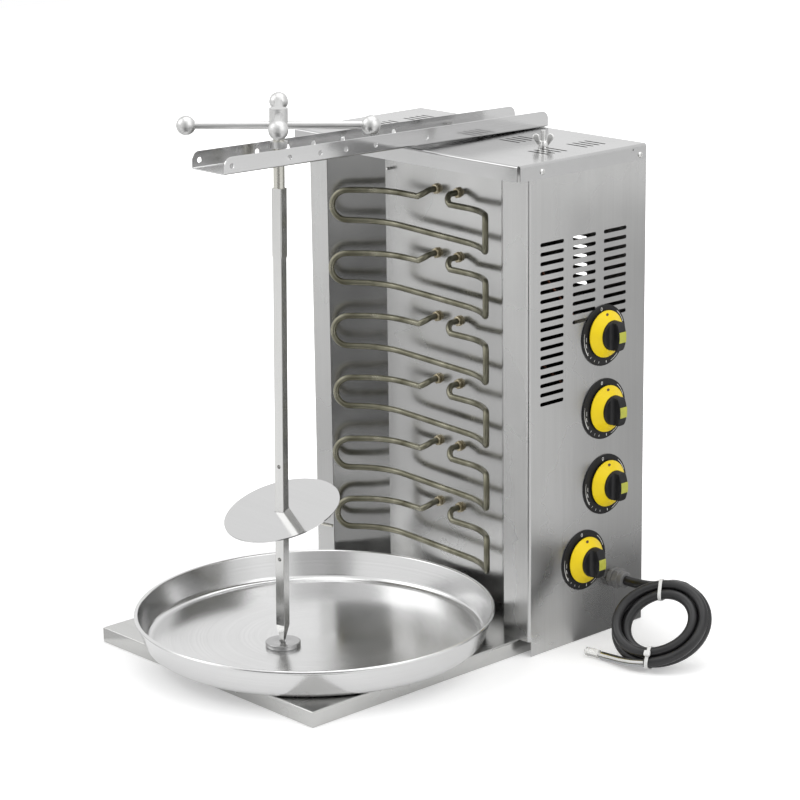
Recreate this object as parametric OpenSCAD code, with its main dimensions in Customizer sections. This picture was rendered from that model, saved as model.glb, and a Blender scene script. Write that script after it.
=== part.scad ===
// Electric vertical skewer grill: a stainless housing with six bent tube heaters in a
// splayed reflector, a base tray with a loose round drip pan, and a square skewer that
// hangs from a channel on the lid and turns by a cross handle.
// Millimetres, +Z up. The modules use a working frame: x = 0 on the skewer's plane,
// y = 0 on the front face of the right-hand flange (+y to the back), z = 0 on the floor.
// placed() moves the whole so that the origin is at the middle of the footprint.

/* [Housing] */
// Height of the lid's top over the floor
lid_z = 638.5; // [630:0.5:650]
// Outer face of the control panel, right of the skewer's plane
panel_x = 210; // [206:0.5:214]
// Outer face of the left side panel
left_x = -207; // [-212:0.5:-200]
// Depth of the housing, front flange to back cover
depth = 212.6; // [205:0.1:225]
// Thickness of the sheet steel
sheet = 1; // [0.8:0.1:1.2]
// Outside radius of the lid's folds
fold_r = 3; // [2:0.5:3]
// Outside radius of the side panels' folds
panel_fold_r = 4; // [2:0.5:5]
// Width of the right front flange
flange_w = 45; // [40:1:48]
// Width of the left front flange
left_flange_w = 36; // [30:1:40]
// How far the left flange stands behind the right one
left_setback = 6.5; // [3:0.5:8]
// Front face of the rear reflector
reflector_y = 63; // [60:0.5:66]
// Left edge of the rear reflector
reflector_left = -118; // [-122:1:-112]
// Right edge of the rear reflector
reflector_right = 99; // [94:1:104]

/* [Lid] */
// Height of the lid's lip
lip_h = 20; // [16:1:24]
// How far the lid stands out over the front flanges
lid_front = 19; // [14:1:22]
// Gap between the lid's lip and the panels
lid_gap = 0.2; // [0.1:0.1:0.5]
// Length of a lid vent
lid_vent_l = 36; // [28:1:40]
// Width of a lid vent
lid_vent_w = 3.6; // [3:0.2:5]
// Distance between lid vents
lid_vent_pitch = 11; // [8:0.5:12]

/* [Side vents] */
// Length of a side vent
vent_l = 42; // [36:1:44]
// Width of a side vent
vent_w = 5; // [4:0.5:6]
// Distance between side vents
vent_pitch = 12; // [9:0.5:12]
// Height of the top row
vent_top = 535; // [520:1:545]
// Rows in the front column
vent_rows_front = 18; // [10:1:20]
// Rows in the other two columns
vent_rows_back = 10; // [6:1:10]

/* [Controls] */
// Diameter of a dial ring
dial_d = 79.5; // [74:0.5:82]
// Diameter of the yellow skirt
skirt_d = 61; // [56:1:64]
// Diameter of the knob's boss
knob_d = 39; // [36:1:42]
// How far a knob stands out of the panel
knob_out = 34; // [30:1:38]
// Width of the knob's finger bar
finger_w = 13; // [10:1:16]
// Height of the cable gland over the floor
gland_z = 72; // [60:1:80]
// Depth of the cable gland behind the flange
gland_y = 155.5; // [150:0.5:160]
// Width across the flats of the gland
gland_af = 23; // [20:1:26]
// How far the gland stands out of the panel
gland_out = 25; // [22:1:28]

/* [Heaters] */
// Diameter of the heater tube
heater_d = 8; // [6.5:0.5:8]
// Middle of the heaters, left to right
heater_x = 1; // [-4:1:4]
// Half the distance between a heater's terminals
terminal_half = 20; // [16:1:24]
// Height of the lowest terminals
terminal_z = 145.5; // [140:0.5:150]
// Distance between heaters
heater_pitch = 85; // [80:1:86]
// Front of the rear reflector to the heaters' straight run
heater_gap = 25; // [20:1:28]

/* [Base and pan] */
// Width of the base tray
base_w = 416; // [400:1:416]
// Height of the base tray
base_h = 20; // [18:0.5:20]
// Left edge of the base tray
base_left = -223.5; // [-226:0.5:-220]
// Front edge of the base tray
base_front = -351.6; // [-360:0.1:-345]
// Outer radius of the pan's rim
pan_r = 232; // [225:1:234]
// Height of the pan
pan_h = 40; // [35:1:42]
// Place of the pan's middle, left to right
pan_x = -2; // [-5:1:3]
// Place of the pan's middle, front to back
pan_y = -177; // [-182:1:-177]
// Diameter of the tip cup
puck_d = 45; // [40:1:50]

/* [Carrier beam] */
// Length of the channel
beam_l = 548; // [530:1:560]
// Outside width of the channel
beam_w = 62.5; // [58:0.5:66]
// Height of its flanges
beam_h = 21; // [18:0.5:24]
// Thickness of its steel
beam_t = 1.5; // [1.2:0.1:2]
// Middle of the channel, left to right
beam_x = 3.6; // [0:0.1:6]
// Rear end of the channel
beam_rear = 214.5; // [205:0.5:220]
// Lean of the channel, front up
beam_lean = 0.95; // [0.8:0.05:1]

/* [Skewer] */
// Width of the square bar
bar_w = 12.5; // [12:0.1:12.5]
// Turn of the bar and its socket about the skewer's axis
bar_turn = 16.7; // [0:0.1:45]
// Lean of the skewer to the back
lean_back = 0.9; // [0.8:0.05:1]
// Lean of the skewer to the right
lean_right = 0.37; // [0:0.01:0.5]
// Place of the tip, front to back
tip_y = -232.5; // [-236:0.5:-228]
// Height of the tip's end
tip_z = 26.4; // [26.3:0.1:26.8]
// Diameter of the round rod
rod_d = 14; // [12:0.5:14]
// Height of the handle hub's top
hub_top = 712; // [708:1:714]
// Diameter of the handle hub
hub_d = 23; // [21:0.5:25]
// Diameter of a handle bar
grip_d = 10; // [8:0.5:10]
// Diameter of a handle ball
ball_d = 24; // [20:1:26]
// Skewer's axis to the middle of a ball
ball_reach = 112; // [100:0.5:118]
// Diameter of the meat disc
disc_d = 150; // [130:1:150]
// Lean of the disc, back edge up
disc_lean = 18; // [10:1:18]
// Height of the disc's middle
disc_z = 203; // [203:1:210]

/* [Cord] */
// Diameter of the cord
cord_d = 12.6; // [12:0.1:12.6]
// Distance between turns, side by side and layer to layer
turn_pitch = 13.4; // [13.4:0.1:13.6]
// Radius of the coil's outermost turn
coil_r = 60; // [58:0.5:64]
// How far its turns are from round
coil_oval = 0.06; // [0:0.01:0.06]
// Lean of the coil, from lying flat
coil_lean = 45; // [42:1:48]
// Turn of the coil about the vertical
coil_turn = 26.5; // [24:0.5:30]
// Angle at which the cord enters the coil
coil_start = 62; // [58:1:66]
// Angle at which the cord leaves it, after its full turns
coil_end = -93; // [-96:1:-91]
// Full turns besides
coil_turns = 3; // [2:1:4]

/* [Hidden] */
$fn = 48;

steel = "gainsboro";
dark_steel = "silver";
black = "dimgray";

// Middle of the footprint in the working frame
mid_x = (pan_x - pan_r + panel_x + knob_out) / 2;
mid_y = (pan_y - pan_r + beam_rear) / 2;

eps = 0.01;
through = 40;              // longer than any wall that it cuts
panel_top = lid_z - fold_r;  // below the inside of the lid's folds
flange_left = panel_x - flange_w;
left_flange_right = left_x + left_flange_w;
lid_left = left_x - lid_gap - sheet;
lid_right = panel_x + lid_gap + sheet;
lid_back = depth + lid_gap + sheet;

// Knob shafts as [y, z], from the top
dials = [[134.9, 403.6], [137.7, 304.5], [140.9, 203.6], [100.5, 108.9]];
// The stuck-on dial rings sit a little off their shafts, as [y, z]
ring_off = [[-0.5, -2.4], [-1.9, -0.6], [-2.2, -1.3], [-0.5, -0.8]];
ring_bore_r = 7.8;
dial_t = 2;
skirt_back = 4.6;
skirt_edge = 6;            // front of the skirt's rim, where its cone starts
skirt_front = 16.5;
boss_front = 20;
shaft_front = 24.5;
crown_r = 42.5;            // the finger bar's front is a flat arch
shaft_r = 3;
bush_r = 5;
clearance = 0.3;           // between pieces that move past each other
slip = 0.05;               // running fit

// Vent columns of the control panel as [middle y, rows]
vent_columns = [[41, vent_rows_front], [99, vent_rows_back], [155.6, vent_rows_back]];
// Vent groups of the lid as [x, y], four rows each
lid_vents = [[160, 154], [160, 84], [74, 120], [-75, 120], [-140, 151], [-140, 90]];
lid_vent_rows = 4;
wing_at = [138, 99];
wing_turn = 45;
// Lid screws on each side lip as [y, z]
lid_screws = [[22, 627], [199.7, 625]];
// Back cover screws as [x, z]
back_screws = [for (x = [-190, 0, 190], z = [40, 600]) [x, z]];
// A lone bolt end that stands out of the rear reflector, as [x, z]
reflector_bolt = [-106, 586.5];
// A pilot hole in the lid's right lip, as [y, z]
pilot_hole = [186.4, 632.6];
pilot_r = 1.3;
screw_r = 2;
screw_head_r = 4;

// Channel
beam_z = lid_z + 0.5;
beam_bolts_at = [222.5, 94.5];       // from its rear end
beam_slide = 55;
bolt_r = 4;
bolt_af = 13;
flange_holes = [537, 447, 398, 356, 307, 220];   // from its rear end
flange_hole_r = 3.5;
flange_corner = 11;
rod_hole_at = [-0.6, 437.5];         // across, and from its rear end

// Skewer heights, along its axis
rod_bottom = 614;
hub_bottom = 682;
collar_z = [663.5, 671.7];
socket_z = [528, rod_bottom];
socket_w = 14.2;
socket_edge_r = 1.2;
socket_bore = 12.9;
bar_edge_r = 0.5;
bar_top = 554;
taper_z = 51;
tip_w = 3;
lower_bar_z = 691;
upper_bar_z = 703;
lower_bar_turn = 49.5;
bar_holes_z = [261, 139];
bar_hole_r = 2.5;
pin_r = 2;
pin_z = 196.5;
pin_droop = 1.5;
pin_ends = [-13, 75];
disc_t = 1.5;
tip_x = -1;

// Pan
pan_floor = base_h + clearance;
pan_t = 2.2;
pan_corner = 11;
pan_wall_r = 221;          // where the corner passes into the wall
pan_slope = 16;            // the wall leans out by this angle
bead_r = 2.6;
puck_lift = 1.6;           // the cup's underside over the pan's floor
puck_z = pan_floor + pan_t + puck_lift;
puck_h = 4.4;

// ---------------------------------------------------------------- helpers

module placed() { translate([-mid_x, -mid_y, 0]) children(); }

// Puts a flat drawing of [y, z] on a plane of constant x, thickness towards +x
module on_side(x, t) { translate([x, 0, 0]) rotate([90, 0, 90]) linear_extrude(t) children(); }

// A plate lying in x and z, front face at y
module on_front(y, t) { translate([0, y + t, 0]) rotate([90, 0, 0]) linear_extrude(t) children(); }

module slot(l, w) {
    square([l - w, w], center = true);
    for (s = [-1, 1]) translate([s * (l - w) / 2, 0]) circle(d = w, $fn = 24);
}

// A rectangle whose two upper corners are round
module top_round(w, h, r) {
    translate([-w / 2, 0]) square([w, h - r]);
    translate([-w / 2 + r, 0]) square([w - 2 * r, h]);
    for (s = [-1, 1]) translate([s * (w / 2 - r), h - r]) circle(r);
}

// A square with round corners
module round_square(w, r) {
    square([w, w - 2 * r], center = true);
    square([w - 2 * r, w], center = true);
    for (x = [-1, 1], y = [-1, 1]) translate([x, y] * (w / 2 - r)) circle(r, $fn = 24);
}

// A folded sheet: an upside-down U of width w, lips h
module folded_u(w, h, t, r) {
    difference() {
        top_round(w, h, r);
        translate([0, -eps]) top_round(w - 2 * t, h - t + eps, r - t);
    }
}

module hex(af, h) { cylinder(d = af / cos(30), h = h, $fn = 6); }

function unit(v) = v / norm(v);
function sum(v) = len(v) == 0 ? 0 : v * [for (i = v) 1];
function arc(c, r, a0, a1, n) = [for (i = [0:n]) let (a = a0 + (a1 - a0) * i / n) c + r * [cos(a), sin(a)]];
function bezier(a, b, c, d, n) = [for (i = [0:n]) let (t = i / n, u = 1 - t)
    u * u * u * a + 3 * u * u * t * b + 3 * u * t * t * c + t * t * t * d];

// Directions of a path at its points; square to its ends
function tangents(p) = [for (i = [0:len(p) - 1]) unit(p[min(i + 1, len(p) - 1)] - p[max(i - 1, 0)])];
function side_of(t) = unit(cross(t, abs(t[2]) < 0.9 ? [0, 0, 1] : [1, 0, 0]));
// The side vector is carried along the path without twisting
function sides_along(t) = [for (i = 0, n = side_of(t[0]); i < len(t);
    i = i + 1, n = i < len(t) ? unit(n - (n * t[i]) * t[i]) : n) n];
function tube_points(p, r, k) = let (t = tangents(p), n = sides_along(t))
    [for (i = [0:len(p) - 1]) let (b = cross(t[i], n[i]))
        for (j = [0:k - 1]) p[i] + r * (cos(360 * j / k) * n[i] + sin(360 * j / k) * b)];
function tube_faces(m, k) = concat(
    [[for (j = [k - 1:-1:0]) j]],
    [for (i = [0:m - 2], j = [0:k - 1]) let (a = i * k + j, b = i * k + (j + 1) % k) [a, b, b + k]],
    [for (i = [0:m - 2], j = [0:k - 1]) let (a = i * k + j, b = i * k + (j + 1) % k) [a, b + k, a + k]],
    [[for (j = [0:k - 1]) (m - 1) * k + j]]);

// A round tube swept along a path
module tube(path, r, k) {
    outward = [for (f = tube_faces(len(path), k)) [for (q = [len(f) - 1:-1:0]) f[q]]];
    polyhedron(points = tube_points(path, r, k), faces = outward, convexity = 6);
}

// ---------------------------------------------------------------- base and pan

base_fold_r = 2;
base_return = 14;          // width of the flange turned in under the tray

// A block w by d by h, its four upper edges round
module rounded_block(w, d, h, r) {
    intersection() {
        translate([0, d / 2, 0]) rotate([90, 0, 0]) linear_extrude(d) top_round(w, h, r);
        translate([-w / 2, 0, 0]) rotate([90, 0, 90]) linear_extrude(w) top_round(d, h, r);
    }
}

module base_tray() {
    base_d = depth - base_front;
    color(steel) translate([base_left + base_w / 2, base_front + base_d / 2, 0]) difference() {
        rounded_block(base_w, base_d, base_h, base_fold_r);
        translate([0, 0, sheet]) rounded_block(base_w - 2 * sheet, base_d - 2 * sheet,
            base_h - 2 * sheet, base_fold_r - sheet);
        translate([-base_w / 2 + base_return, -base_d / 2 + base_return, -eps])
            cube([base_w - 2 * base_return, base_d - 2 * base_return, sheet + 2 * eps]);
    }
}

function pan_outline() = let (
    c = [pan_wall_r - pan_corner, pan_floor + pan_corner],
    top = pan_floor + pan_h - bead_r,
    rim = [pan_r - bead_r, top])
    concat(
        [[0, pan_floor]],
        arc(c, pan_corner, -90, -pan_slope, 6),
        arc(rim, bead_r, -pan_slope - 60, 180 - pan_slope, 10),
        arc(c, pan_corner - pan_t, -pan_slope, -90, 6),
        [[0, pan_floor + pan_t]]);

module drip_pan() {
    color(steel) translate([pan_x, pan_y, 0]) rotate_extrude($fn = 96) polygon(pan_outline());
}

module tip_puck() {
    top = puck_z + puck_h;
    seat = tip_z - 0.35;
    color(dark_steel) translate([tip_x, tip_y, 0]) rotate_extrude() polygon([
        [0, puck_z], [puck_d / 2, puck_z], [puck_d / 2, top - 1], [puck_d / 2 - 1, top],
        [4.6, top], [2.6, seat], [0, seat]]);
}

// ---------------------------------------------------------------- housing

module vent_field() {
    for (c = vent_columns, i = [0:c[1] - 1])
        translate([c[0], vent_top - i * vent_pitch]) slot(vent_l, vent_w);
}

module control_side_panel() {
    color(steel) difference() {
        union() {
            translate([0, 0, base_h]) linear_extrude(panel_top - base_h) {
                translate([flange_left, 0]) square([flange_w - panel_fold_r, sheet]);
                translate([panel_x - panel_fold_r, panel_fold_r]) intersection() {
                    difference() {
                        circle(panel_fold_r);
                        circle(panel_fold_r - sheet);
                    }
                    translate([0, -panel_fold_r]) square(panel_fold_r);
                }
            }
            on_side(panel_x - sheet, sheet) translate([panel_fold_r, 0])
                square([depth - panel_fold_r, panel_top]);
        }
        on_side(panel_x - through / 2, through) {
            vent_field();
            for (d = dials) translate(d) circle(bush_r + 0.3);
            translate([gland_y, gland_z]) circle(10.1);
            for (s = lid_screws) translate(s) circle(screw_r + 0.1);
        }
    }
}

module left_side_panel() {
    y = left_setback;
    color(steel) difference() {
        union() {
            translate([0, 0, base_h]) linear_extrude(panel_top - base_h) {
                translate([left_x + panel_fold_r, y]) square([left_flange_w - panel_fold_r, sheet]);
                translate([left_x + panel_fold_r, y + panel_fold_r]) intersection() {
                    difference() {
                        circle(panel_fold_r);
                        circle(panel_fold_r - sheet);
                    }
                    translate([-panel_fold_r, -panel_fold_r]) square(panel_fold_r);
                }
                translate([left_x, y + panel_fold_r]) square([sheet, depth - y - panel_fold_r]);
            }
        }
        on_side(left_x - through / 2, through) for (s = lid_screws)
            translate(s) circle(screw_r + 0.1);
    }
}

module back_cover() {
    color(steel) on_front(depth - sheet, sheet) difference() {
        translate([left_x + sheet, base_h]) square([panel_x - left_x - 2 * sheet, panel_top - base_h]);
        for (s = back_screws) translate(s) circle(screw_r + 0.1);
        for (x = [-88, 88], i = [0:5]) translate([x, 500 - i * vent_pitch]) slot(vent_l, vent_w);
    }
}

// A plate standing between two points of the plan, on the side away from the skewer
module standing_plate(p, q) {
    n = unit([-(q - p)[1], (q - p)[0]]) * sheet;
    translate([0, 0, base_h]) linear_extrude(panel_top - base_h) polygon([p, q, q + n, p + n]);
}

module rear_reflector() {
    color(dark_steel) difference() {
        translate([reflector_left, reflector_y, base_h])
            cube([reflector_right - reflector_left, sheet, panel_top - base_h]);
        at_terminals(reflector_y - through / 2) cylinder(r = heater_d / 2 + 0.4, h = through);
        translate([reflector_bolt[0], reflector_y - 5, reflector_bolt[1]]) rotate([-90, 0, 0])
            cylinder(r = screw_r + 0.1, h = 10);
    }
}

module left_reflector() {
    color(dark_steel)
        standing_plate([left_flange_right, left_setback + sheet], [reflector_left, reflector_y]);
}

module right_reflector() {
    color(dark_steel) standing_plate([reflector_right, reflector_y], [flange_left, sheet]);
}

module top_cap() {
    w = lid_right - lid_left;
    d = lid_back + lid_front;
    cx = (lid_left + lid_right) / 2;
    cy = (lid_back - lid_front) / 2;
    color(steel) difference() {
        union() {
            translate([cx, cy + d / 2 - fold_r, lid_z - lip_h]) rotate([90, 0, 0])
                linear_extrude(d - 2 * fold_r) folded_u(w, lip_h, sheet, fold_r);
            translate([cx - w / 2 + fold_r, cy, lid_z - lip_h]) rotate([90, 0, 90])
                linear_extrude(w - 2 * fold_r) folded_u(d, lip_h, sheet, fold_r);
        }
        for (g = lid_vents, i = [0:lid_vent_rows - 1])
            translate([g[0], g[1] + (i - (lid_vent_rows - 1) / 2) * lid_vent_pitch, lid_z - through / 2])
                linear_extrude(through) slot(lid_vent_l, lid_vent_w);
        for (b = beam_bolts_at) translate([beam_x, beam_rear - b + beam_slide / 2, lid_z - through / 2])
            linear_extrude(through) rotate(90) slot(beam_slide + 2 * bolt_r + 2, 2 * bolt_r + 1.4);
        translate([wing_at[0], wing_at[1], lid_z - 10]) cylinder(r = 3.1, h = 20);
        for (s = lid_screws) translate([lid_left - 5, s[0], s[1]]) rotate([0, 90, 0])
            cylinder(r = screw_r + 0.1, h = w + 10);
        translate([lid_right - 5, pilot_hole[0], pilot_hole[1]]) rotate([0, 90, 0])
            cylinder(r = pilot_r, h = 10);
    }
}

// A pan-head screw, head towards +z, its seat at z = 0
module screw() {
    translate([0, 0, -7]) cylinder(r = screw_r, h = 7);
    intersection() {
        translate([0, 0, -3.2]) sphere(5.2);
        cylinder(r = screw_head_r, h = 5);
    }
}

module sheet_screws() {
    color(dark_steel) {
        for (s = lid_screws) {
            translate([lid_right, s[0], s[1]]) rotate([0, 90, 0]) screw();
            translate([lid_left, s[0], s[1]]) rotate([0, -90, 0]) screw();
        }
        for (s = back_screws) translate([s[0], depth, s[1]]) rotate([-90, 0, 0]) screw();
        translate([reflector_bolt[0], reflector_y - 9, reflector_bolt[1]]) rotate([-90, 0, 0]) {
            cylinder(r = screw_r, h = 14);
            translate([0, 0, 9 + sheet]) hex(7, 3);
        }
    }
}

module wing_stud() {
    color(dark_steel) translate([wing_at[0], wing_at[1], lid_z - 12]) {
        cylinder(r = 3, h = 34);
        difference() {
            hex(10, 5);
            translate([0, 0, -eps]) cylinder(r = 2, h = 1);
        }
    }
}

module wing_nut() {
    color("white") translate([wing_at[0], wing_at[1], lid_z]) difference() {
        union() {
            cylinder(r1 = 7, r2 = 5, h = 9);
            rotate([90, 0, wing_turn]) translate([0, 0, -1.3]) linear_extrude(2.6) for (s = [0, 1])
                mirror([s, 0]) polygon(concat([[3, 1], [6, 2]], arc([9, 13], 4.5, -40, 150, 8), [[4, 8]]));
        }
        translate([0, 0, -1]) cylinder(r = 3 + slip, h = 30);
    }
}

// ---------------------------------------------------------------- heaters

function terminal_x(s) = heater_x + s * terminal_half;
function terminal_height(i) = terminal_z + i * heater_pitch;

heater_y = reflector_y - heater_gap;
straight_half = 62;        // half the straight run
splay_r = 79;              // bend towards the front
splay = 45;
left_reach = 141;          // arc length to the left hairpin's middle
right_reach = 112;
leg_r = 10;                // bend from the leg into the upper run
leg_end = 13;              // behind the reflector's front
// Small differences of the hand-bent heaters: [left loop, right loop, lower run] in mm
bends = [[0, 2, 1], [1, -2, 0], [-1, 1, 1], [0, -1, -1], [2, 0, 1], [-1, 1, 0]];

// Plan of the heaters: the point at arc length s from the middle, right positive
function plan(s) = let (a = abs(s), g = sign(s), b = splay_r * splay * PI / 180)
    a < straight_half ? [heater_x + s, heater_y]
    : a < straight_half + b ? let (t = (a - straight_half) / splay_r * 180 / PI)
        [heater_x + g * (straight_half + splay_r * sin(t)), heater_y - splay_r * (1 - cos(t))]
    : let (d = a - straight_half - b)
        [heater_x + g * (straight_half + splay_r * sin(splay) + d * cos(splay)),
         heater_y - splay_r * (1 - cos(splay)) - d * sin(splay)];
function at(s, z) = [plan(s)[0], plan(s)[1], z];

// The bend from a terminal's leg into an upper run, z0 to z1, side s; turn 0 to 90 degrees
function leg_bend(s, z0, z1, turn) = [terminal_x(s) + s * leg_r * (1 - cos(turn)),
    heater_y + leg_r * (1 - sin(turn)), z0 + (z1 - z0) * turn / 90];

// Each heater: terminal, leg, upper run, left hairpin, lower run, right hairpin, and back
function heater_path(i) = let (
    z = terminal_height(i), b = bends[i], back_y = reflector_y + leg_end,
    left = left_reach + b[0], right = right_reach + b[1], s0 = terminal_half + leg_r,
    upper_left = z - 8, upper_right = z - 11,
    lower_left = z - 48 + b[2], lower_right = z - 58 + b[2],
    rl = (upper_left - lower_left) / 2, rr = (upper_right - lower_right) / 2)
    concat(
        [[terminal_x(-1), back_y, z], [terminal_x(-1), heater_y + leg_r + 2, z]],
        [for (k = [1:5]) leg_bend(-1, z, upper_left, 18 * k)],
        [for (k = [1:6]) at(-s0 - (left - s0) * k / 6, upper_left)],
        [for (k = [1:7]) let (a = 22.5 * k) at(-left - rl * sin(a), lower_left + rl * (1 + cos(a)))],
        [for (k = [0:14]) let (f = k / 14)
            at(-left + (left + right) * f, lower_left + (lower_right - lower_left) * f)],
        [for (k = [7:-1:1]) let (a = 22.5 * k) at(right + 15 * sin(a), lower_right + rr * (1 + cos(a)))],
        [for (k = [0:4]) at(right - (right - s0) * k / 4, upper_right)],
        [for (k = [4:-1:0]) leg_bend(1, z, upper_right, 18 * k)],
        [[terminal_x(1), back_y, z]]);

module heating_element(i) { color("darkkhaki") tube(heater_path(i), heater_d / 2, 8); }

// Puts its children at each heater terminal, +z towards the back
module at_terminals(y) {
    for (i = [0:5], s = [-1, 1]) translate([terminal_x(s), y, terminal_height(i)])
        rotate([-90, 0, 0]) children();
}

module element_nuts() {
    color("goldenrod") at_terminals(reflector_y - 5) difference() {
        hex(12, 5);
        translate([0, 0, -eps]) cylinder(r = heater_d / 2 + 0.1, h = 6);
    }
}

module terminal_insulators() {
    color("ivory") at_terminals(reflector_y + sheet) difference() {
        cylinder(r = 7, h = 9);
        translate([0, 0, -eps]) cylinder(r = heater_d / 2 + 0.1, h = 10);
    }
}

module terminal_studs() { color(dark_steel) at_terminals(reflector_y + leg_end) cylinder(r = 2, h = 14); }

module neutral_bus_bar() {
    y = reflector_y + leg_end + 6;
    color("goldenrod") difference() {
        translate([terminal_x(-1) - 6, y, terminal_z - 10]) cube([12, 1.5, 5 * heater_pitch + 20]);
        for (i = [0:5]) translate([terminal_x(-1), y - 5, terminal_height(i)]) rotate([-90, 0, 0])
            cylinder(r = 2.1, h = 12);
    }
}

// ---------------------------------------------------------------- controls

// Puts its children at a dial, +z out of the panel, +y up
module at_dial(d) { translate([panel_x, d[0], d[1]]) rotate([90, 0, 90]) children(); }

module dial_rings() {
    color(black) for (i = [0:3]) at_dial(dials[i]) difference() {
        translate(ring_off[i]) {
            cylinder(d = dial_d, h = dial_t - 0.6);
            translate([0, 0, dial_t - 0.6]) cylinder(d1 = dial_d, d2 = dial_d - 2, h = 0.6);
        }
        translate(concat(ring_off[i], -eps)) cylinder(r = ring_bore_r, h = dial_t + 1);
    }
}

// A disc with an upright rim, then a cone up to the grip's boss
module knob_skirt(i) {
    color("gold") at_dial(dials[i]) rotate_extrude($fn = 64) polygon([
        [shaft_r + slip, skirt_back], [skirt_d / 2, skirt_back], [skirt_d / 2, skirt_edge],
        [knob_d / 2 + 0.2, skirt_front], [shaft_r + slip, skirt_front]]);
}

module knob_grip(i) {
    color(black) at_dial(dials[i]) difference() {
        union() {
            translate([0, 0, skirt_front]) cylinder(d = knob_d, h = boss_front - skirt_front);
            intersection() {
                translate([0, 0, skirt_front])
                    cylinder(d1 = knob_d, d2 = knob_d - 2.6, h = knob_out - skirt_front);
                translate([-finger_w / 2, -knob_d / 2, skirt_front]) cube([finger_w, knob_d, knob_out]);
                translate([-finger_w, 0, knob_out - crown_r]) rotate([0, 90, 0])
                    cylinder(r = crown_r, h = 2 * finger_w, $fn = 120);
            }
        }
        translate([0, 0, skirt_front - eps])
            cylinder(r = shaft_r + slip, h = shaft_front - skirt_front + 0.2);
    }
}

module regulator_shaft(i) {
    color(dark_steel) at_dial(dials[i]) translate([0, 0, -16])
        cylinder(r = shaft_r, h = shaft_front + 16);
}

module energy_regulators() {
    color("ivory") for (d = dials) at_dial(d) difference() {
        union() {
            translate([-18, -20, -33]) cube([36, 40, 33 - sheet]);
            translate([0, 0, -sheet - eps]) cylinder(r = bush_r, h = sheet + 3.2);
        }
        translate([0, 0, -18]) cylinder(r = shaft_r + slip, h = 30);
    }
}

module terminal_block() {
    color("ivory") translate(block_at) difference() {
        cube([20, 24, 52]);
        for (i = [0:4]) translate([-1, 12, 6 + 10 * i]) rotate([0, 90, 0]) cylinder(r = 2, h = 22);
    }
}

// A wire between two points that leaves each along x or y
function wire(a, da, b, db) = bezier(a, a + da, b + db, b, 7);

block_at = [150, 176, 44];
regulator_back = panel_x - 33.6;
stud_end = reflector_y + leg_end + 15;

// The cord's inner end, and two wires to each regulator, from a heater and from the block
module inner_wiring() {
    cord_end = [panel_x - 16.5, gland_y, gland_z];
    color("brown") {
        tube(wire(cord_end, [-10, 0, 0], block_at + [27, 12, 26], [6, 0, 0]), 5, 8);
        for (i = [0:3]) let (d = dials[i], k = [5, 3, 2, 0][i]) {
            tube(wire([regulator_back, d[0] + 8, d[1]], [-40, 0, 0],
                [terminal_x(1), stud_end, terminal_height(k)], [0, 40, 0]), 1.6, 8);
            tube(wire([regulator_back, d[0] - 8, d[1] - 12], [-14, 30, 0],
                block_at + [-0.7, 12, 6 + 10 * i], [-20 - 4 * i, 0, 0]), 1.6, 8);
        }
    }
}

// ---------------------------------------------------------------- gland and cord

module at_gland() { translate([panel_x, gland_y, gland_z]) rotate([0, 90, 0]) children(); }

module cable_gland() {
    color("gray") at_gland() {
        translate([0, 0, -14]) cylinder(r = 9.9, h = 14);
        hex(gland_af, 7);
        translate([0, 0, 7 - eps]) cylinder(r = 9.4, h = 2);
    }
}

module gland_cap() {
    color("gray") at_gland() difference() {
        union() {
            translate([0, 0, 8]) hex(gland_af, 9);
            translate([0, 0, 17 - eps]) cylinder(r1 = 11, r2 = 8.2, h = gland_out - 17 + eps);
        }
        translate([0, 0, 8 - eps]) cylinder(r = 9.5, h = 1.1);
    }
}

module gland_locknut() {
    color("gray") at_gland() translate([0, 0, -sheet - 6]) difference() {
        hex(26, 6);
        translate([0, 0, -1]) cylinder(r = 9.95, h = 8);
    }
}

coil_full = coil_start - coil_end + 360 * coil_turns;    // degrees of cord in the coil
climb = 180;                                             // degrees of cord that change layer
oval_turn = 28;                                          // angle of the turns' longer axis
coil_low = 2;                                            // the turns' least height over the floor

// Piled loops: the cord spirals in, climbs one layer where the spiral turns, and spirals out
function coil_radius(f) = coil_r * (1 + coil_oval * cos(2 * (coil_start - f - oval_turn)))
    - turn_pitch * (coil_full / 2 - abs(f - coil_full / 2)) / 360;
function coil_layer(f) = let (t = min(1, max(0, (f - coil_full / 2 + climb / 2) / climb)))
    -turn_pitch / 2 + turn_pitch * (0.5 - 0.5 * cos(180 * t));
function coil_flat(f) = let (r = coil_radius(f), a = coil_start - f)
    [r * cos(a), r * sin(a), coil_layer(f)];
// From the coil's own plane into the working frame: leant back, then turned
function leant(p) = [p[0], p[1] * cos(coil_lean) - p[2] * sin(coil_lean),
    p[1] * sin(coil_lean) + p[2] * cos(coil_lean)];
coil_at = [331.8, 109.3, coil_low + cord_d / 2 - min([for (f = [0:5:coil_full]) leant(coil_flat(f))[2]])];
function coil_place(p) = let (q = leant(p), c = cos(coil_turn), s = sin(coil_turn))
    coil_at + [q[0] * c - q[1] * s, q[0] * s + q[1] * c, q[2]];
function coil_point(f) = coil_place(coil_flat(f));

coil_rings = ceil(coil_full / 15);
coil_loops = [for (i = [0:coil_rings]) coil_point(coil_full * i / coil_rings)];
coil_in = unit(coil_loops[1] - coil_loops[0]);
coil_out = unit(coil_loops[coil_rings] - coil_loops[coil_rings - 1]);
coil_first = coil_loops[0] - 4 * coil_in;
coil_last = coil_loops[coil_rings] + 2 * coil_out;
coil_path = concat([coil_first], coil_loops, [coil_last]);

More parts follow.
